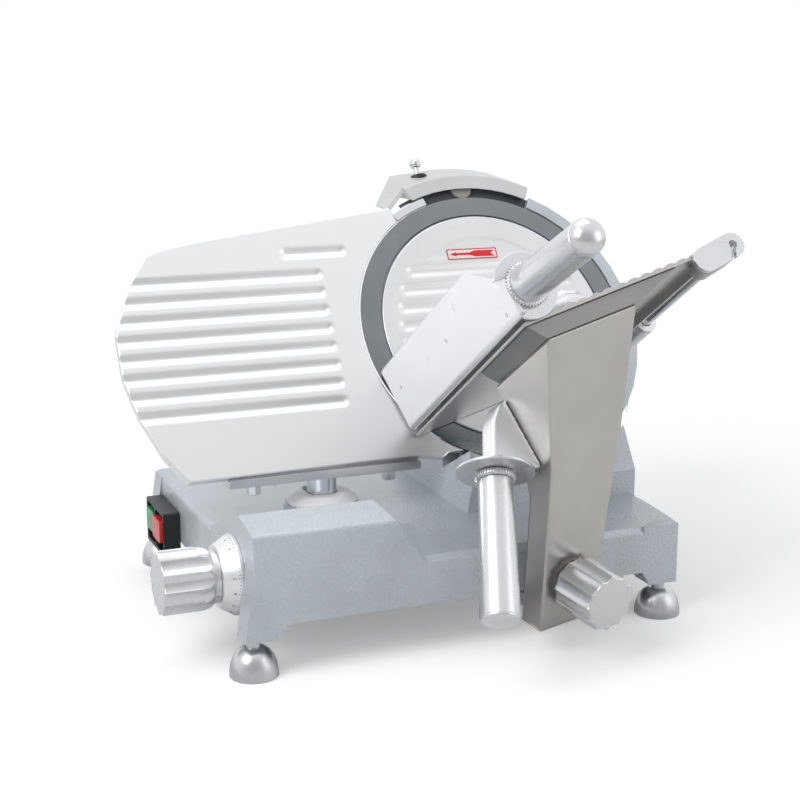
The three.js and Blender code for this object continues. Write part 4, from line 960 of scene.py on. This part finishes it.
@dataclass
class Gauge:
    """The grooved thickness plate, its bar, bolts, column and slider.

    The plate lies in the blade's place. Its shares are corners as parts of its width and height.
    """

    left: float = -0.4033
    width: float = 0.334
    bottom: float = -0.1396
    height: float = 0.2818
    front: float = -0.0003
    thickness: float = 0.0077
    arc: float = 0.1513
    arc_top: float = math.radians(124.5)
    arc_bottom: float = math.radians(243)
    screw: tuple[float, float, float] = (0.0637, 0.1295, 0.1375)
    screw_radius: float = 0.0021
    bolt_top: float = 0.1365
    bolt_drop: float = 0.004
    grooves: int = 8
    pitch: float = 0.02
    groove_top: float = 0.07
    groove_half: float = 0.0078
    groove_depth: float = 0.0026
    groove_end: float = -0.187
    short_left: float = -0.216
    short_right: float = -0.156
    short_level: float = 0.095
    edge: float = 0.0016
    samples: int = 200
    window: int = 15

    low_shares = ((0.141, 0.004), (0.845, 0.016), (0.938, -0.004), (0.945, 0.017), (1.0023, 0.0171))
    left_shares = ((0.141, 0.004), (0.083, 0.096), (0.027, 0.258), (0.0, 0.403), (0.0015, 0.562),
                   (0.057, 0.728), (0.127, 0.85))
    top_shares = ((0.127, 0.85), (0.176, 0.8745), (0.303, 0.902), (0.9365, 1.0))

    def chain(self, shares: Sequence[tuple[float, float]], at: np.ndarray) -> np.ndarray:
        """Reads points along a chain of the outline.

        Args:
            shares: Corners as shares of the width and height.
            at: Places along the chain, 0 to 1.

        Returns:
            The points.
        """
        corners = np.array(shares) * (self.width, self.height) + (self.left, self.bottom)
        way = way_along(corners)
        smooth = np.linspace(0, way[-1], self.samples)
        line = read_line(smooth, way, corners)
        kernel = np.hanning(self.window) / np.hanning(self.window).sum()
        ends = line[[0, -1]].copy()
        pad = self.window // 2
        padded = np.concatenate((np.repeat(ends[:1], pad, 0), line, np.repeat(ends[1:], pad, 0)))
        line = np.stack([np.convolve(padded[:, k], kernel, "valid") for k in (0, 1)], 1)
        line[[0, -1]] = ends
        return read_line(at * way[-1], smooth, line)

    def build_plate(self) -> None:
        """Makes the plate as a patch between its four edges.

        Inside the outline a point is the mean of the points between opposite edges, less the
        mean of the corners. The front falls into each groove and rounds over at the rim.
        """
        near = np.array((0, 0.0008, 0.0018, 0.003, 0.0045))
        s = np.concatenate((near, np.linspace(0.008, 0.992, 130), 1 - near[::-1]))
        v = np.concatenate((near, np.linspace(0.008, 0.992, 230), 1 - near[::-1]))
        low, top = self.chain(self.low_shares, s), self.chain(self.top_shares, s)
        left = self.chain(self.left_shares, v)
        angle = np.linspace(self.arc_bottom, self.arc_top, 160)
        edge = np.concatenate((low[-1:], ellipse(angle, self.arc, self.arc), top[-1:]))
        way = way_along(edge)
        right = read_line(v * way[-1], way, edge)
        a, b = s[None, :, None], v[:, None, None]
        flat = (1 - b) * low[None] + b * top[None] + (1 - a) * left[:, None] + a * right[:, None]
        flat -= (1 - a) * (1 - b) * low[0] + a * (1 - b) * low[-1] + (1 - a) * b * top[0] + a * b * top[-1]
        x, u = flat[..., 0], flat[..., 1]
        depth = np.zeros_like(x)
        for i in range(self.grooves):
            ends = (self.left - self.width, self.groove_end)
            depth = np.maximum(depth, groove(x, u, ends, self.groove_top - i * self.pitch, self.groove_half))
        depth = np.maximum(
            depth, groove(x, u, (self.short_left, self.short_right), self.short_level, self.groove_half),
        )
        across = np.minimum(s, 1 - s)[None] * self.width
        upward = np.minimum(v, 1 - v)[:, None] * self.height
        rim = np.clip(np.minimum(across, upward) / self.edge, 0, 1)
        drop = self.edge * (1 - np.sqrt(1 - (1 - rim) ** 2))
        z = self.front - self.groove_depth * depth - drop
        shell = sheet(np.stack((x, u, z), -1), self.front - self.thickness)
        piece("thickness_plate", shell, BLADE, SATIN, "gauge", ["gauge_plate"], crease=50)

    def hang(self, points: np.ndarray) -> np.ndarray:
        """Lengthens the heads of the bolts below the bar.

        Args:
            points: Points of a bolt in the machine.

        Returns:
            The moved points.
        """
        moved = points.copy()
        moved[:, 2] -= self.bolt_drop * (points[:, 2] < self.bolt_top)
        return moved

    def build(self) -> None:
        """Makes the plate and dresses what carries it."""
        self.build_plate()
        refined("gauge_bar", BAR_CHROME, 0.0012)
        for side in ("left", "right"):
            refined(f"gauge_bolt_{side}", BAR_CHROME, 0.0005, reshape=self.hang)
        r = self.screw_radius
        head = np.array([
            (0, -r), (r * 0.6, -r), (r * 0.6, 0), (r, 0.0002), (r, 0.0012), (r * 0.6, 0.002), (0, 0.0021),
        ])
        place = axial(self.screw, (0, 0, -1), (1, 0, 0))
        piece("bar_screw", revolve(head, 32), place, BAR_CHROME, "gauge", crease=30)
        refined("gauge_column", CHROME)
        refined("gauge_slider", CAST, 0.0008)


@dataclass
class Blade:
    """The round blade with its cover disc, drive, housing and guards."""

    radius: float = 0.15
    thickness: float = 0.004
    bevel_back: float = 0.014
    bevel_front: float = 0.009
    edge: float = 0.0004
    bore: float = 0.0084
    recess: float = 0.128
    recess_depth: float = 0.0016
    recess_run: float = 0.0008
    cover: float = 0.1266
    cover_front: float = 0.001
    cover_back: float = -0.0012
    cover_edge: float = 0.001
    rod: float = 0.0046
    rod_back: float = -0.074
    grooves: int = 8
    pitch: float = 0.02
    groove_top: float = 0.0653
    groove_reach: float = 0.112
    groove_half: float = 0.0082
    groove_depth: float = 0.0017
    arch: float = 0.104
    arch_bottom: float = 0.077
    arch_depth: float = 0.0005
    arch_run: float = 0.006
    label_x: float = -0.0088
    label_u: float = 0.0823
    label_half_x: float = 0.0292
    label_half_u: float = 0.0062
    label_turn: float = math.radians(-0.5)
    label_rim: float = 0.0012
    label_half: float = 0.0003
    ink_low: float = 0.0002
    ink_high: float = 0.00038

    def build_blade(self) -> None:
        """Makes the blade by turning its ground section about its axis."""
        profile = np.array([
            (self.bore, -self.thickness), (self.radius - self.bevel_back, -self.thickness),
            (self.radius, -3 * self.edge), (self.radius, -2 * self.edge), (self.radius - self.bevel_front, 0),
            (self.recess + self.recess_run, 0), (self.recess, -self.recess_depth),
            (self.bore, -self.recess_depth), (self.bore, -self.thickness),
        ])
        piece("round_blade", revolve(profile, 256), BLADE, BLADE_STEEL, "blade_rotor", ["blade"], crease=6)

    def build_cover(self) -> None:
        """Makes the cover disc in rows across it.

        A row at level u runs from -w to w with w = sqrt(R^2 - u^2). The face falls into each
        groove and into the flat arch over them, and rounds over at the rim.
        """
        turn = np.linspace(-math.pi / 2, math.pi / 2, 260)
        u = self.cover * np.sin(turn)
        near = np.array((0, 0.002, 0.005, 0.009))
        s = np.concatenate((near - 1, np.linspace(-0.985, 0.985, 110), 1 - near[::-1]))
        x = np.sqrt(np.maximum(self.cover ** 2 - u ** 2, 0))[:, None] * s[None]
        u = np.repeat(u[:, None], len(s), 1)
        depth = np.zeros_like(x)
        for i in range(self.grooves):
            level = self.groove_top - i * self.pitch
            reach = math.sqrt(self.groove_reach ** 2 - level ** 2) - self.groove_half
            depth = np.maximum(depth, groove(x, u, (-reach, reach), level, self.groove_half))
        inside = np.minimum(self.arch - np.hypot(x, u), u - self.arch_bottom)
        press = self.arch_depth * soft_step(inside / self.arch_run)
        rim = np.clip((self.cover - np.hypot(x, u)) / self.cover_edge, 0, 1)
        drop = self.cover_edge * (1 - np.sqrt(1 - (1 - rim) ** 2))
        z = self.cover_front - self.groove_depth * depth * (press == 0) - press - drop
        rod = np.array([
            (0, self.rod_back), (self.rod, self.rod_back), (self.rod, self.cover_back), (0, self.cover_back),
        ])
        back = self.cover_front - self.groove_depth - 0.0005
        shell = sheet(np.stack((x, u, z), -1), back) + revolve(rod, 32)
        piece("blade_cover_disc", shell, BLADE, COVER_SATIN, "root", ["blade_cover"], crease=60)

    def build_arrow(self) -> None:
        """Makes the plain direction arrow: a red frame on white, and a red arrow in it."""
        x, u, rim = self.label_half_x, self.label_half_u, self.label_rim
        low, high = self.ink_low, self.ink_high
        place = BLADE.moved((self.label_x, self.label_u, self.cover_front + 0.0001), self.label_turn)
        outer = rounded([(-x, -u, rim), (x, -u, rim), (x, u, rim), (-x, u, rim)])
        piece("arrow_plate", prism(outer, -self.label_half, self.label_half), place, WHITE_INK, "root")
        inner = outer * (1 - rim / x, 1 - rim / u)
        rows = [
            np.column_stack((line, np.full(len(line), z)))
            for line, z in ((outer, low), (outer, high), (inner, high), (inner, low))
        ]
        border = grid_shell(np.stack(rows + rows[:1]), capped=False)
        tip, neck, tail = -x + 0.003, -x + 0.011, x - 0.003
        arrow = np.array([
            (tip, 0), (neck, 0.0026), (neck, 0.0012), (-0.1 * x, 0.0015), (x * 0.12, 0.0036), (tail, 0.0036),
            (tail - 0.0045, 0), (tail, -0.0036), (x * 0.12, -0.0036), (-0.1 * x, -0.0015), (neck, -0.0012),
            (neck, -0.0026),
        ])
        piece("arrow_mark", border + prism(arrow, low, high), place, RED_INK, "root")

    def build(self) -> None:
        """Makes the blade, the cover and the arrow, and dresses the drive and the housing."""
        self.build_blade()
        self.build_cover()
        self.build_arrow()
        refined("blade_housing", HAMMERTONE, 0.0012, 20, 0.003, 3, clamp=False)
        for node, finish, width in (
            ("belt_cover", HAMMERTONE, 0.001), ("lower_guard", DARK_ENAMEL, 0.0008),
            ("rim_bracket", CHROME, 0.0012), ("blade_shaft", STEEL, 0.0006), ("blade_pulley", CAST, 0.0006),
            ("motor_pulley", CAST, 0.0006), ("motor", MOTOR_ENAMEL, 0.001), ("bearing_back", STEEL, 0.0006),
            ("bearing_front", STEEL, 0.0006), ("drive_belt", RUBBER, 0.0005),
            ("tie_rod_knob", BLACK_PLASTIC, 0.0006),
        ):
            refined(node, finish, width)


@dataclass
class Sharpener:
    """The arched sharpener housing, its push button and its stone."""

    ball: float = 0.0062
    stem: float = 0.003
    outer: float = 0.183
    depth: float = 0.0327
    top_front: float = -0.01
    places: tuple[float, ...] = (-0.0922, -0.0682, -0.04, 0.0, 0.05, 0.079)
    lifts: tuple[float, ...] = (0.0, 0.0115, 0.005, 0.0045, 0.0048, 0.003)
    collar_lift: float = 0.0032
    ball_lift: float = 0.0035
    collar_share: float = 0.5
    inner: float = 0.1513
    inner_top: float = 0.1665
    inner_front: float = -0.0085
    inner_thick: float = 0.0015
    inner_ends: tuple[float, float] = (math.radians(61), math.radians(117))

    def raise_back(self, points: np.ndarray) -> np.ndarray:
        """Lifts the housing's top towards its back, most at the left corner.

        Args:
            points: Points of the housing in the machine.

        Returns:
            The moved points.
        """
        near = BLADE.local(points)
        share = np.clip(-near[:, 2] / self.depth, 0, 1)
        high = (np.hypot(near[:, 0], near[:, 1]) > self.outer) & (near[:, 2] < self.top_front)
        near[:, 1] += np.where(high, share * np.interp(near[:, 0], self.places, self.lifts), 0)
        return BLADE.carry(near)

    def lift_collar(self, points: np.ndarray) -> np.ndarray:
        """Flattens the button's collar and moves it up with the housing.

        Args:
            points: Points of the collar in the machine.

        Returns:
            The moved points.
        """
        near = BLADE.local(points)
        low = near[:, 1].min()
        near[:, 1] = low + self.collar_lift + self.collar_share * (near[:, 1] - low)
        return BLADE.carry(near)

    def build(self) -> None:
        """Dresses the housing, closes the gap under it and makes the ball button."""
        refined("sharpener_housing", LIGHT_ENAMEL, 0.0014, 25, 0.002, 3, reshape=self.raise_back)
        refined("button_collar", BLACK_PLASTIC, 0.0008, reshape=self.lift_collar)
        angle = np.linspace(*self.inner_ends, 60)
        bottom, top = (ellipse(angle, radius, radius) for radius in (self.inner, self.inner_top))
        outline = np.concatenate((bottom, top[::-1]))
        plate = prism(outline, self.inner_front - self.inner_thick, self.inner_front)
        piece("sharpener_inner_plate", plate, BLADE, DARK_ENAMEL, "root", crease=40, edge=0.0004)
        refined("sharpening_stone", GRIT, 0.0005)
        low, high = (np.array(corner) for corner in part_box("sharpener_button"))
        up = BLADE.axes[1]
        top = (low + high) / 2
        reach = (high[2] - low[2] - self.ball - self.stem * up[1]) / up[2] + self.ball_lift
        centre = np.array((top[0], high[1] - self.ball, high[2] - self.ball)) + self.ball_lift * up
        angle = np.linspace(math.asin(self.stem / self.ball), math.pi, 24)
        ball = np.stack((self.ball * np.sin(angle), -self.ball * np.cos(angle)), 1)
        profile = np.concatenate(([(0, -reach), (self.stem, -reach)], ball))
        profile[-1, 0] = 0
        place = axial(centre, up, (1, 0, 0))
        piece("ball_button", revolve(profile, 48), place, CHROME, "sharpener_push", ["sharpener_button"],
              crease=40)


@dataclass
class Carriage:
    """The folded arm on its square slider, the corrugated tray, the rod and the lower handle.

    The knob's values a and c are in the arm's place, the tray's and the rod's in the tray's place.
    """

    knob_a: float = 0.0016
    knob_c: float = 0.0462
    knob_radius: float = 0.027
    knob_flute: float = 0.0028
    knob_rim: float = 0.0012
    knob_start: float = 0.0063
    knob_end: float = 0.054
    knob_shaft: float = 0.005
    knob_reach: float = 0.02
    flutes: int = 12
    left: float = -0.146
    right: float = 0.062
    rib_end: float = 0.042
    top: float = -0.075
    metal: float = 0.003
    ridge: float = 0.0016
    ridge_pitch: float = 0.0142
    front: float = 0.285
    back: float = 0.0036
    flange_drop: float = 0.012
    rod_t: float = 0.087
    rod_m: float = -0.0815
    lug: float = 0.0105
    lug_width: float = 0.012
    lug_starts: tuple[float, float] = (0.02, 0.262)
    handle: tuple[float, float, float] = (0.2096, -0.06, 0.1816)
    handle_up: tuple[float, float, float] = (0.2325, 0.588, 0.775)
    guard: float = 0.0357
    guard_thick: float = 0.003
    ring: float = 0.0185
    ring_thick: float = 0.007
    grip: float = 0.0155
    grip_end: float = 0.018
    grip_length: float = 0.128
    grip_dome: float = 0.006
    ring_gap: float = 0.0003
    elbow_voxel: float = 0.0014
    elbow_passes: int = 30
    elbow_ease: float = 0.5

    def build_tray(self) -> None:
        """Makes the tray by carrying its section along the blade's axis.

        The top of the section is a row of ridges between grooves of the form ((1 + cos)/2)^2 of
        the place in the pitch, up to a flat strip and a flange at the right edge.
        """
        count = int((self.rib_end - self.left) / self.ridge_pitch)
        end = self.left + count * self.ridge_pitch
        t = np.linspace(self.left, end, count * 14 + 1)
        turn = 2 * math.pi * (t - self.left) / self.ridge_pitch
        wave = self.top - self.ridge * (0.5 + 0.5 * np.cos(turn)) ** 2
        under = self.top - self.ridge - self.metal
        flat = rounded([
            (end, self.top - self.ridge), (self.rib_end + 0.002, self.top), (self.right, self.top, 0.0025),
            (self.right, self.top - self.flange_drop), (self.right - self.metal, self.top - self.flange_drop),
            (self.right - self.metal, under), (self.left, under),
        ], closed=False)
        section = np.concatenate((np.stack((t, wave), 1), flat[1:]))
        shell = prism(section, self.back, self.front)
        middle = self.right - self.metal / 2
        lean = math.atan2(self.rod_m - (self.top - self.lug), self.rod_t - middle)
        a = np.linspace(math.pi / 2, 3 * math.pi / 2, 17) + lean
        near = ellipse(a, self.lug, self.lug, (middle, self.top - self.lug))
        far = ellipse(a, -self.lug, -self.lug, (self.rod_t, self.rod_m))
        for start in self.lug_starts:
            shell = shell + prism(np.concatenate((near, far)), start, start + self.lug_width)
        piece("corrugated_tray", shell, TRAY, TRAY_STAINLESS, "carriage", ["carriage_tray"], crease=42,
              edge=0.0006)

    def build_handle(self) -> None:
        """Makes the lower grip with its guard disc and knurled ring, about the handle's axis."""
        place = axial(self.handle, self.handle_up, (1, 0, 0))
        piece("lower_guard_disc", revolve(disc(self.guard, 0, self.guard_thick), 160), place, TURNED_SATIN,
              "carriage", ["handle_guard"])
        ring = revolve(disc(self.ring, -self.ring_thick, -self.ring_gap), 360, knurl)
        piece("lower_knurled_ring", ring, place, TURNED_SATIN, "carriage", ["handle_ring"])
        below = place.carry(np.array((0, 0, -self.ring_thick - self.ring_gap)))
        down = axial(below, -place.axes[2], (1, 0, 0))
        grip = revolve(grip_profile(self.grip, self.grip_end, self.grip_length, self.grip_dome), 128)
        piece("lower_grip", grip, down, TURNED_SATIN, "carriage", ["carriage_handle"], crease=40)

    def build_knob(self) -> None:
        """Makes the fluted knob that locks the carriage to its arm."""
        place = axial(ARM.carry(np.array((self.knob_a, 0, self.knob_c))), -ARM.axes[1], ARM.axes[0])
        side = np.linspace(self.knob_start, self.knob_end - self.knob_rim, 12)
        turn = np.linspace(0, math.pi / 2, 8)
        rim = np.stack((
            self.knob_radius - self.knob_rim * (1 - np.cos(turn)),
            self.knob_end - self.knob_rim * (1 - np.sin(turn)),
        ), 1)[1:]
        profile = np.concatenate((
            [(0, -self.knob_reach), (self.knob_shaft, -self.knob_reach), (self.knob_shaft, self.knob_start)],
            np.stack((np.full(len(side), self.knob_radius), side), 1), rim, [(0, self.knob_end)],
        ))
        reach = fluted(self.flutes, self.knob_flute, self.knob_radius, self.knob_end, self.knob_rim)
        grip = revolve(profile, 240, reach)
        piece("lock_knob_grip", grip, place, TURNED_SATIN, "lock_knob", ["carriage_knob"], crease=40)

    def build(self) -> None:
        """Makes the tray, the handle and the knob, and dresses the rest."""
        self.build_tray()
        self.build_handle()
        self.build_knob()
        refined("carriage_slider", CAST, 0.0012)
        refined("slider_liner", WHITE_PLASTIC, 0.0004)
        refined("carriage_arm", STAINLESS, 0.0024, 20, 0.02, 3, clamp=False)
        refined("arm_boss", STEEL, 0.0008)
        refined("stub_pin", STEEL)
        # The cradle's dark stainless is painted shade from the tray above it, not a darker metal.
        refined("tray_cradle", PAINTED_SHADE_STAINLESS, 0.001, 20, 0.01, 2)
        refined("pusher_rod", CHROME)
        refined("end_bracket", TURNED_SATIN, 0.0008)
        elbow = refined("handle_elbow", CAST, 0.0)
        elbow.modifiers.remove(elbow.modifiers["edges"])
        grain = elbow.modifiers.new("even", "REMESH")
        grain.mode, grain.voxel_size, grain.use_smooth_shade = "VOXEL", self.elbow_voxel, True
        ease = elbow.modifiers.new("ease", "SMOOTH")
        ease.factor, ease.iterations = self.elbow_ease, self.elbow_passes


def disc(radius: float, start: float, end: float) -> np.ndarray:
    """Returns the section of a flat disc with a rounded rim."""
    edge = (end - start) * 0.4
    return rounded([(0, start), (radius, start, edge), (radius, end, edge), (0, end)], closed=False)


KNURLS = 42
KNURL_DEPTH = 0.0013
KNURL_RIM = 0.9


def knurl(angle: np.ndarray, radius: np.ndarray, height: np.ndarray) -> np.ndarray:
    """Cuts straight slots into a rim: the radius falls where sin(n a) comes near its top."""
    slot = soft_step((np.sin(KNURLS * angle) - 0.1) / 0.5)
    return radius - KNURL_DEPTH * slot * (radius > radius.max() * KNURL_RIM)


def grip_profile(neck: float, tip: float, length: float, dome: float) -> np.ndarray:
    """Lists a grip's section from its neck to its domed end, with a fine seam before the dome.

    Args:
        neck: Radius at the neck.
        tip: Radius at the end.
        length: Length up to the dome.
        dome: Height of the dome, a quarter ellipse.

    Returns:
        The (radius, height) rows.
    """
    seam = 0.0004
    angle = np.linspace(0, math.pi / 2, 20)
    end = ellipse(angle, tip, dome, (0, length))
    body = np.array([
        (0, 0), (neck - seam, 0), (neck, seam), (tip, length - 4 * seam), (tip - seam, length - 3 * seam),
        (tip - seam, length - 2 * seam), (tip, length - seam),
    ])
    end[-1, 0] = 0
    return np.concatenate((body, end))


@dataclass
class Pusher:
    """The hollow pusher block on its swinging hub, with a guard disc and a handle.

    The middle of its end face is at t, m, n in the tray's place.
    """

    t: float = -0.13
    m: float = -0.048
    n: float = 0.2884
    guard: float = 0.0305
    guard_thick: float = 0.003
    gap: float = 0.0003
    ring: float = 0.0205
    ring_thick: float = 0.005
    grip: float = 0.0172
    grip_end: float = 0.0156
    grip_length: float = 0.106
    grip_dome: float = 0.013
    left: float = -0.149
    wide: float = 0.028
    sink: float = 0.0055
    slope: float = 0.022
    slope_start: float = 0.17
    slope_run: float = 0.06
    sink_start: float = -0.045
    sink_run: float = 0.01
    lip: float = 0.0035
    lip_face: float = -0.0005
    lip_start: float = -0.011
    lip_run: float = 0.004
    notch_x: float = -0.0150
    notch_y: float = 0.0128
    screw: float = 0.0019
    screws: tuple[tuple[float, float], ...] = ((-0.0348, 0.1551), (-0.0313, 0.0288), (-0.0611, 0.2715))

    def settle(self, points: np.ndarray) -> np.ndarray:
        """Fits the block to its tray and its handle.

        Its lower edges go down to the ridges, the nose slopes away to the right, and the wall on
        the left stands forward over the rim of the guard disc.

        Args:
            points: Points of the solid in the machine.

        Returns:
            The moved points.
        """
        near = TRAY.local(points)
        t, m, n = near[:, 0], near[:, 1], near[:, 2]
        right = np.clip((t - self.left) / self.wide, 0, 1)
        nose = soft_step((n - self.slope_start) / self.slope_run) * (m > self.m)
        low = soft_step((self.sink_start - m) / self.sink_run)
        near[:, 1] = m - self.sink * low - self.slope * right * nose
        front = TRAY.moved((self.t, self.m, self.n), PUSHER_TIP, "X")
        face = front.local(TRAY.carry(near))
        edge = soft_step((self.lip_start - face[:, 0]) / self.lip_run)
        face[:, 2] += self.lip * (face[:, 2] > self.lip_face) * edge
        return front.carry(face)

    def build_guard(self, place: Place) -> None:
        """Makes the guard disc with a notch for the block's left wall.

        Args:
            place: The middle of the block's end face, with z along the handle.
        """
        low = math.sqrt(self.guard ** 2 - self.notch_x ** 2)
        high = math.sqrt(self.guard ** 2 - self.notch_y ** 2)
        angle = np.linspace(math.atan2(-low, self.notch_x), math.atan2(self.notch_y, -high), 120)
        outline = np.concatenate((ellipse(angle, self.guard, self.guard), [(self.notch_x, self.notch_y)]))
        shell = prism(outline, self.gap, self.gap + self.guard_thick)
        piece("pusher_guard_disc", shell, place, TURNED_SATIN, "pusher", ["pusher_guard"], crease=50,
              edge=0.0007)

    def build_screw(self, m: float, n: float) -> None:
        """Makes a socket set screw that stands just proud of the block's left wall.

        Args:
            m: Its height over the blade's axis, square to the tray's length.
            n: Its place along the tray's length.
        """
        r = self.screw
        profile = np.array([
            (0, -r), (r, -r), (r, 0.0001), (r * 0.9, 0.0002), (r * 0.55, 0.0002), (r * 0.5, -0.0006),
            (0, -0.0006),
        ])
        where = TRAY.carry(np.array((self.left, m, n)))
        place = axial(where, -TRAY.axes[0], TRAY.axes[1])
        piece(f"set_screw_{round(n * 1000)}", revolve(profile, 32), place, STEEL, "pusher", crease=30)

    def build(self) -> None:
        """Makes the guard, the ring and the grip, and dresses the block and the hub."""
        place = TRAY.moved((self.t, self.m, self.n), PUSHER_TIP, "X")
        self.build_guard(place)
        start = self.guard_thick + 2 * self.gap
        ring = revolve(disc(self.ring, start, start + self.ring_thick), 360, knurl)
        piece("pusher_knurled_ring", ring, place, TURNED_SATIN, "pusher", ["pusher_ring"])
        grip = revolve(grip_profile(self.grip, self.grip_end, self.grip_length, self.grip_dome), 128)
        up = place.moved((0, 0, start + self.ring_thick + self.gap))
        piece("pusher_grip", grip, up, TURNED_SATIN, "pusher", ["pusher_handle"], crease=40)
        refined("pusher_block", WHITE_METAL, 0.001, 40, 0.006, 3, clamp=False, reshape=self.settle)
        for m, n in self.screws:
            self.build_screw(m, n)
        refined("pusher_hub", CAST, 0.0008)
        refined("pusher_bush", CAST)
        refined("grip_plate", TURNED_SATIN, 0.0004)


@dataclass
class Studio:
    """The pale floor, the lamps, the world and the camera."""

    camera: tuple[float, float, float] = (-0.380, -1.280, 0.564)
    look: tuple[float, float, float] = (math.radians(76.9), 0.0, math.radians(-22.2))
    lens: float = 70.8
    sensor: float = 36.0
    floor_half: float = 6.0
    sky: float = 0.62
    dark: float = 0.5
    paper_start: float = 0.55
    paper_end: float = 1.15
    paper_middle: tuple[float, float, float] = (0.24, 0.08, 0.0)
    paper: float = 0.86
    paper_glow: float = 0.24
    target: tuple[float, float, float] = (0.22, 0.05, 0.2)
    lamps = (
        ("key", (-1.3, -0.5, 1.5), 1.1, 15),
        ("fill", (1.5, -1.2, 0.8), 1.2, 3),
        ("top", (0.2, 0.5, 1.9), 1.4, 6),
    )

    def lamp(self, name: str, place: Sequence[float], size: float, power: float) -> None:
        """Hangs a soft square lamp.

        Args:
            name: Its name.
            place: Where it hangs, facing the target.
            size: Its side.
            power: Its watts.
        """
        data = bpy.data.lights.new(name, "AREA")
        data.shape, data.size, data.energy = "SQUARE", size, power
        made = new_object(name, data)
        made.location = place
        made.rotation_euler = (Vector(self.target) - Vector(place)).to_track_quat("-Z", "Y").to_euler()

    def build_world(self) -> None:
        """Makes the world: white behind the object, and a darker room on the camera's side."""
        world = bpy.data.worlds.new("studio")
        bpy.context.scene.world = world
        graph = fresh_graph(world)
        toward = Vector(self.camera).normalized()
        ray = graph.add("LightPath")
        way = graph.add("TexCoord").outputs["Generated"]
        facing = graph.add(
            "VectorMath", {"operation": "DOT_PRODUCT"}, in_0=way, in_1=(toward.x, toward.y, -0.15),
        )
        room = graph.add(
            "MapRange", {"interpolation_type": "SMOOTHSTEP"}, Value=facing.outputs["Value"],
            From_Min=0.1, From_Max=0.8, To_Min=1.0, To_Max=self.dark,
        )
        shiny = graph.add(
            "Math", {"operation": "MAXIMUM"}, in_0=ray.outputs["Is Glossy Ray"],
            in_1=ray.outputs["Is Transmission Ray"],
        )
        level = graph.add(
            "Mix", {"data_type": "FLOAT"}, in_0=shiny.outputs["Value"], in_2=self.sky,
            in_3=room.outputs["Result"],
        )
        seen = graph.add(
            "Math", {"operation": "MAXIMUM"}, in_0=level.outputs["Result"],
            in_1=ray.outputs["Is Camera Ray"],
        )
        light = graph.add("Background", Color=(1, 1, 1, 1), Strength=seen.outputs["Value"])
        graph.add("OutputWorld", Surface=light.outputs["Background"])

    def build_floor(self) -> None:
        """Makes the floor, which reads white to the camera and keeps the object's shadow."""
        half = self.floor_half
        data = bpy.data.meshes.new("floor")
        corners = [(-half, -half, 0), (half, -half, 0), (half, half, 0), (-half, half, 0)]
        data.from_pydata(corners, [], [(0, 1, 2, 3)])
        made = new_object("floor", data)
        material = bpy.data.materials.new("floor_paper")
        graph = fresh_graph(material)
        ray = graph.add("LightPath")
        paper = graph.add("BsdfDiffuse", Color=(*[self.paper] * 3, 1), Roughness=1.0)
        glow = graph.add(
            "Math", {"operation": "MULTIPLY"}, in_0=ray.outputs["Is Camera Ray"],
            in_1=self.paper_glow,
        )
        shine = graph.add("Emission", Color=(1, 1, 1, 1), Strength=glow.outputs["Value"])
        both = graph.add("AddShader", in_0=paper.outputs["BSDF"], in_1=shine.outputs["Emission"])
        where = graph.add("TexCoord").outputs["Object"]
        away = graph.add(
            "VectorMath", {"operation": "DISTANCE"}, in_0=where, in_1=self.paper_middle,
        )
        open_floor = graph.add(
            "MapRange", {"interpolation_type": "SMOOTHSTEP"}, Value=away.outputs["Value"],
            From_Min=self.paper_start, From_Max=self.paper_end, To_Min=0.0, To_Max=1.0,
        )
        share = graph.add(
            "Math", {"operation": "MULTIPLY"}, in_0=open_floor.outputs["Result"],
            in_1=ray.outputs["Is Camera Ray"],
        )
        white = graph.add("Emission", Color=(1, 1, 1, 1), Strength=1.0)
        seen = graph.add(
            "MixShader", in_0=share.outputs["Value"], in_1=both.outputs["Shader"],
            in_2=white.outputs["Emission"],
        )
        graph.add("OutputMaterial", Surface=seen.outputs["Shader"])
        data.materials.append(material)

    def build(self) -> None:
        """Makes the camera, the world, the floor and three lamps."""
        data = bpy.data.cameras.new("camera")
        data.lens, data.sensor_width = self.lens, self.sensor
        made = new_object("camera", data)
        made.location, made.rotation_euler = self.camera, self.look
        bpy.context.scene.camera = made
        bpy.context.scene.view_settings.view_transform = "Standard"
        self.build_world()
        self.build_floor()
        for lamp in self.lamps:
            self.lamp(*lamp)


def main() -> None:
    """Builds every sub-assembly in order."""
    logging.basicConfig(level=logging.INFO, format="%(name)s %(message)s")
    for group in (Studio, Feet, Base, ThicknessKnob, Gauge, Blade, Sharpener, Carriage, Pusher):
        LOG.info("building %s", group.__name__)
        group().build()


if __name__ == "__main__":
    main()
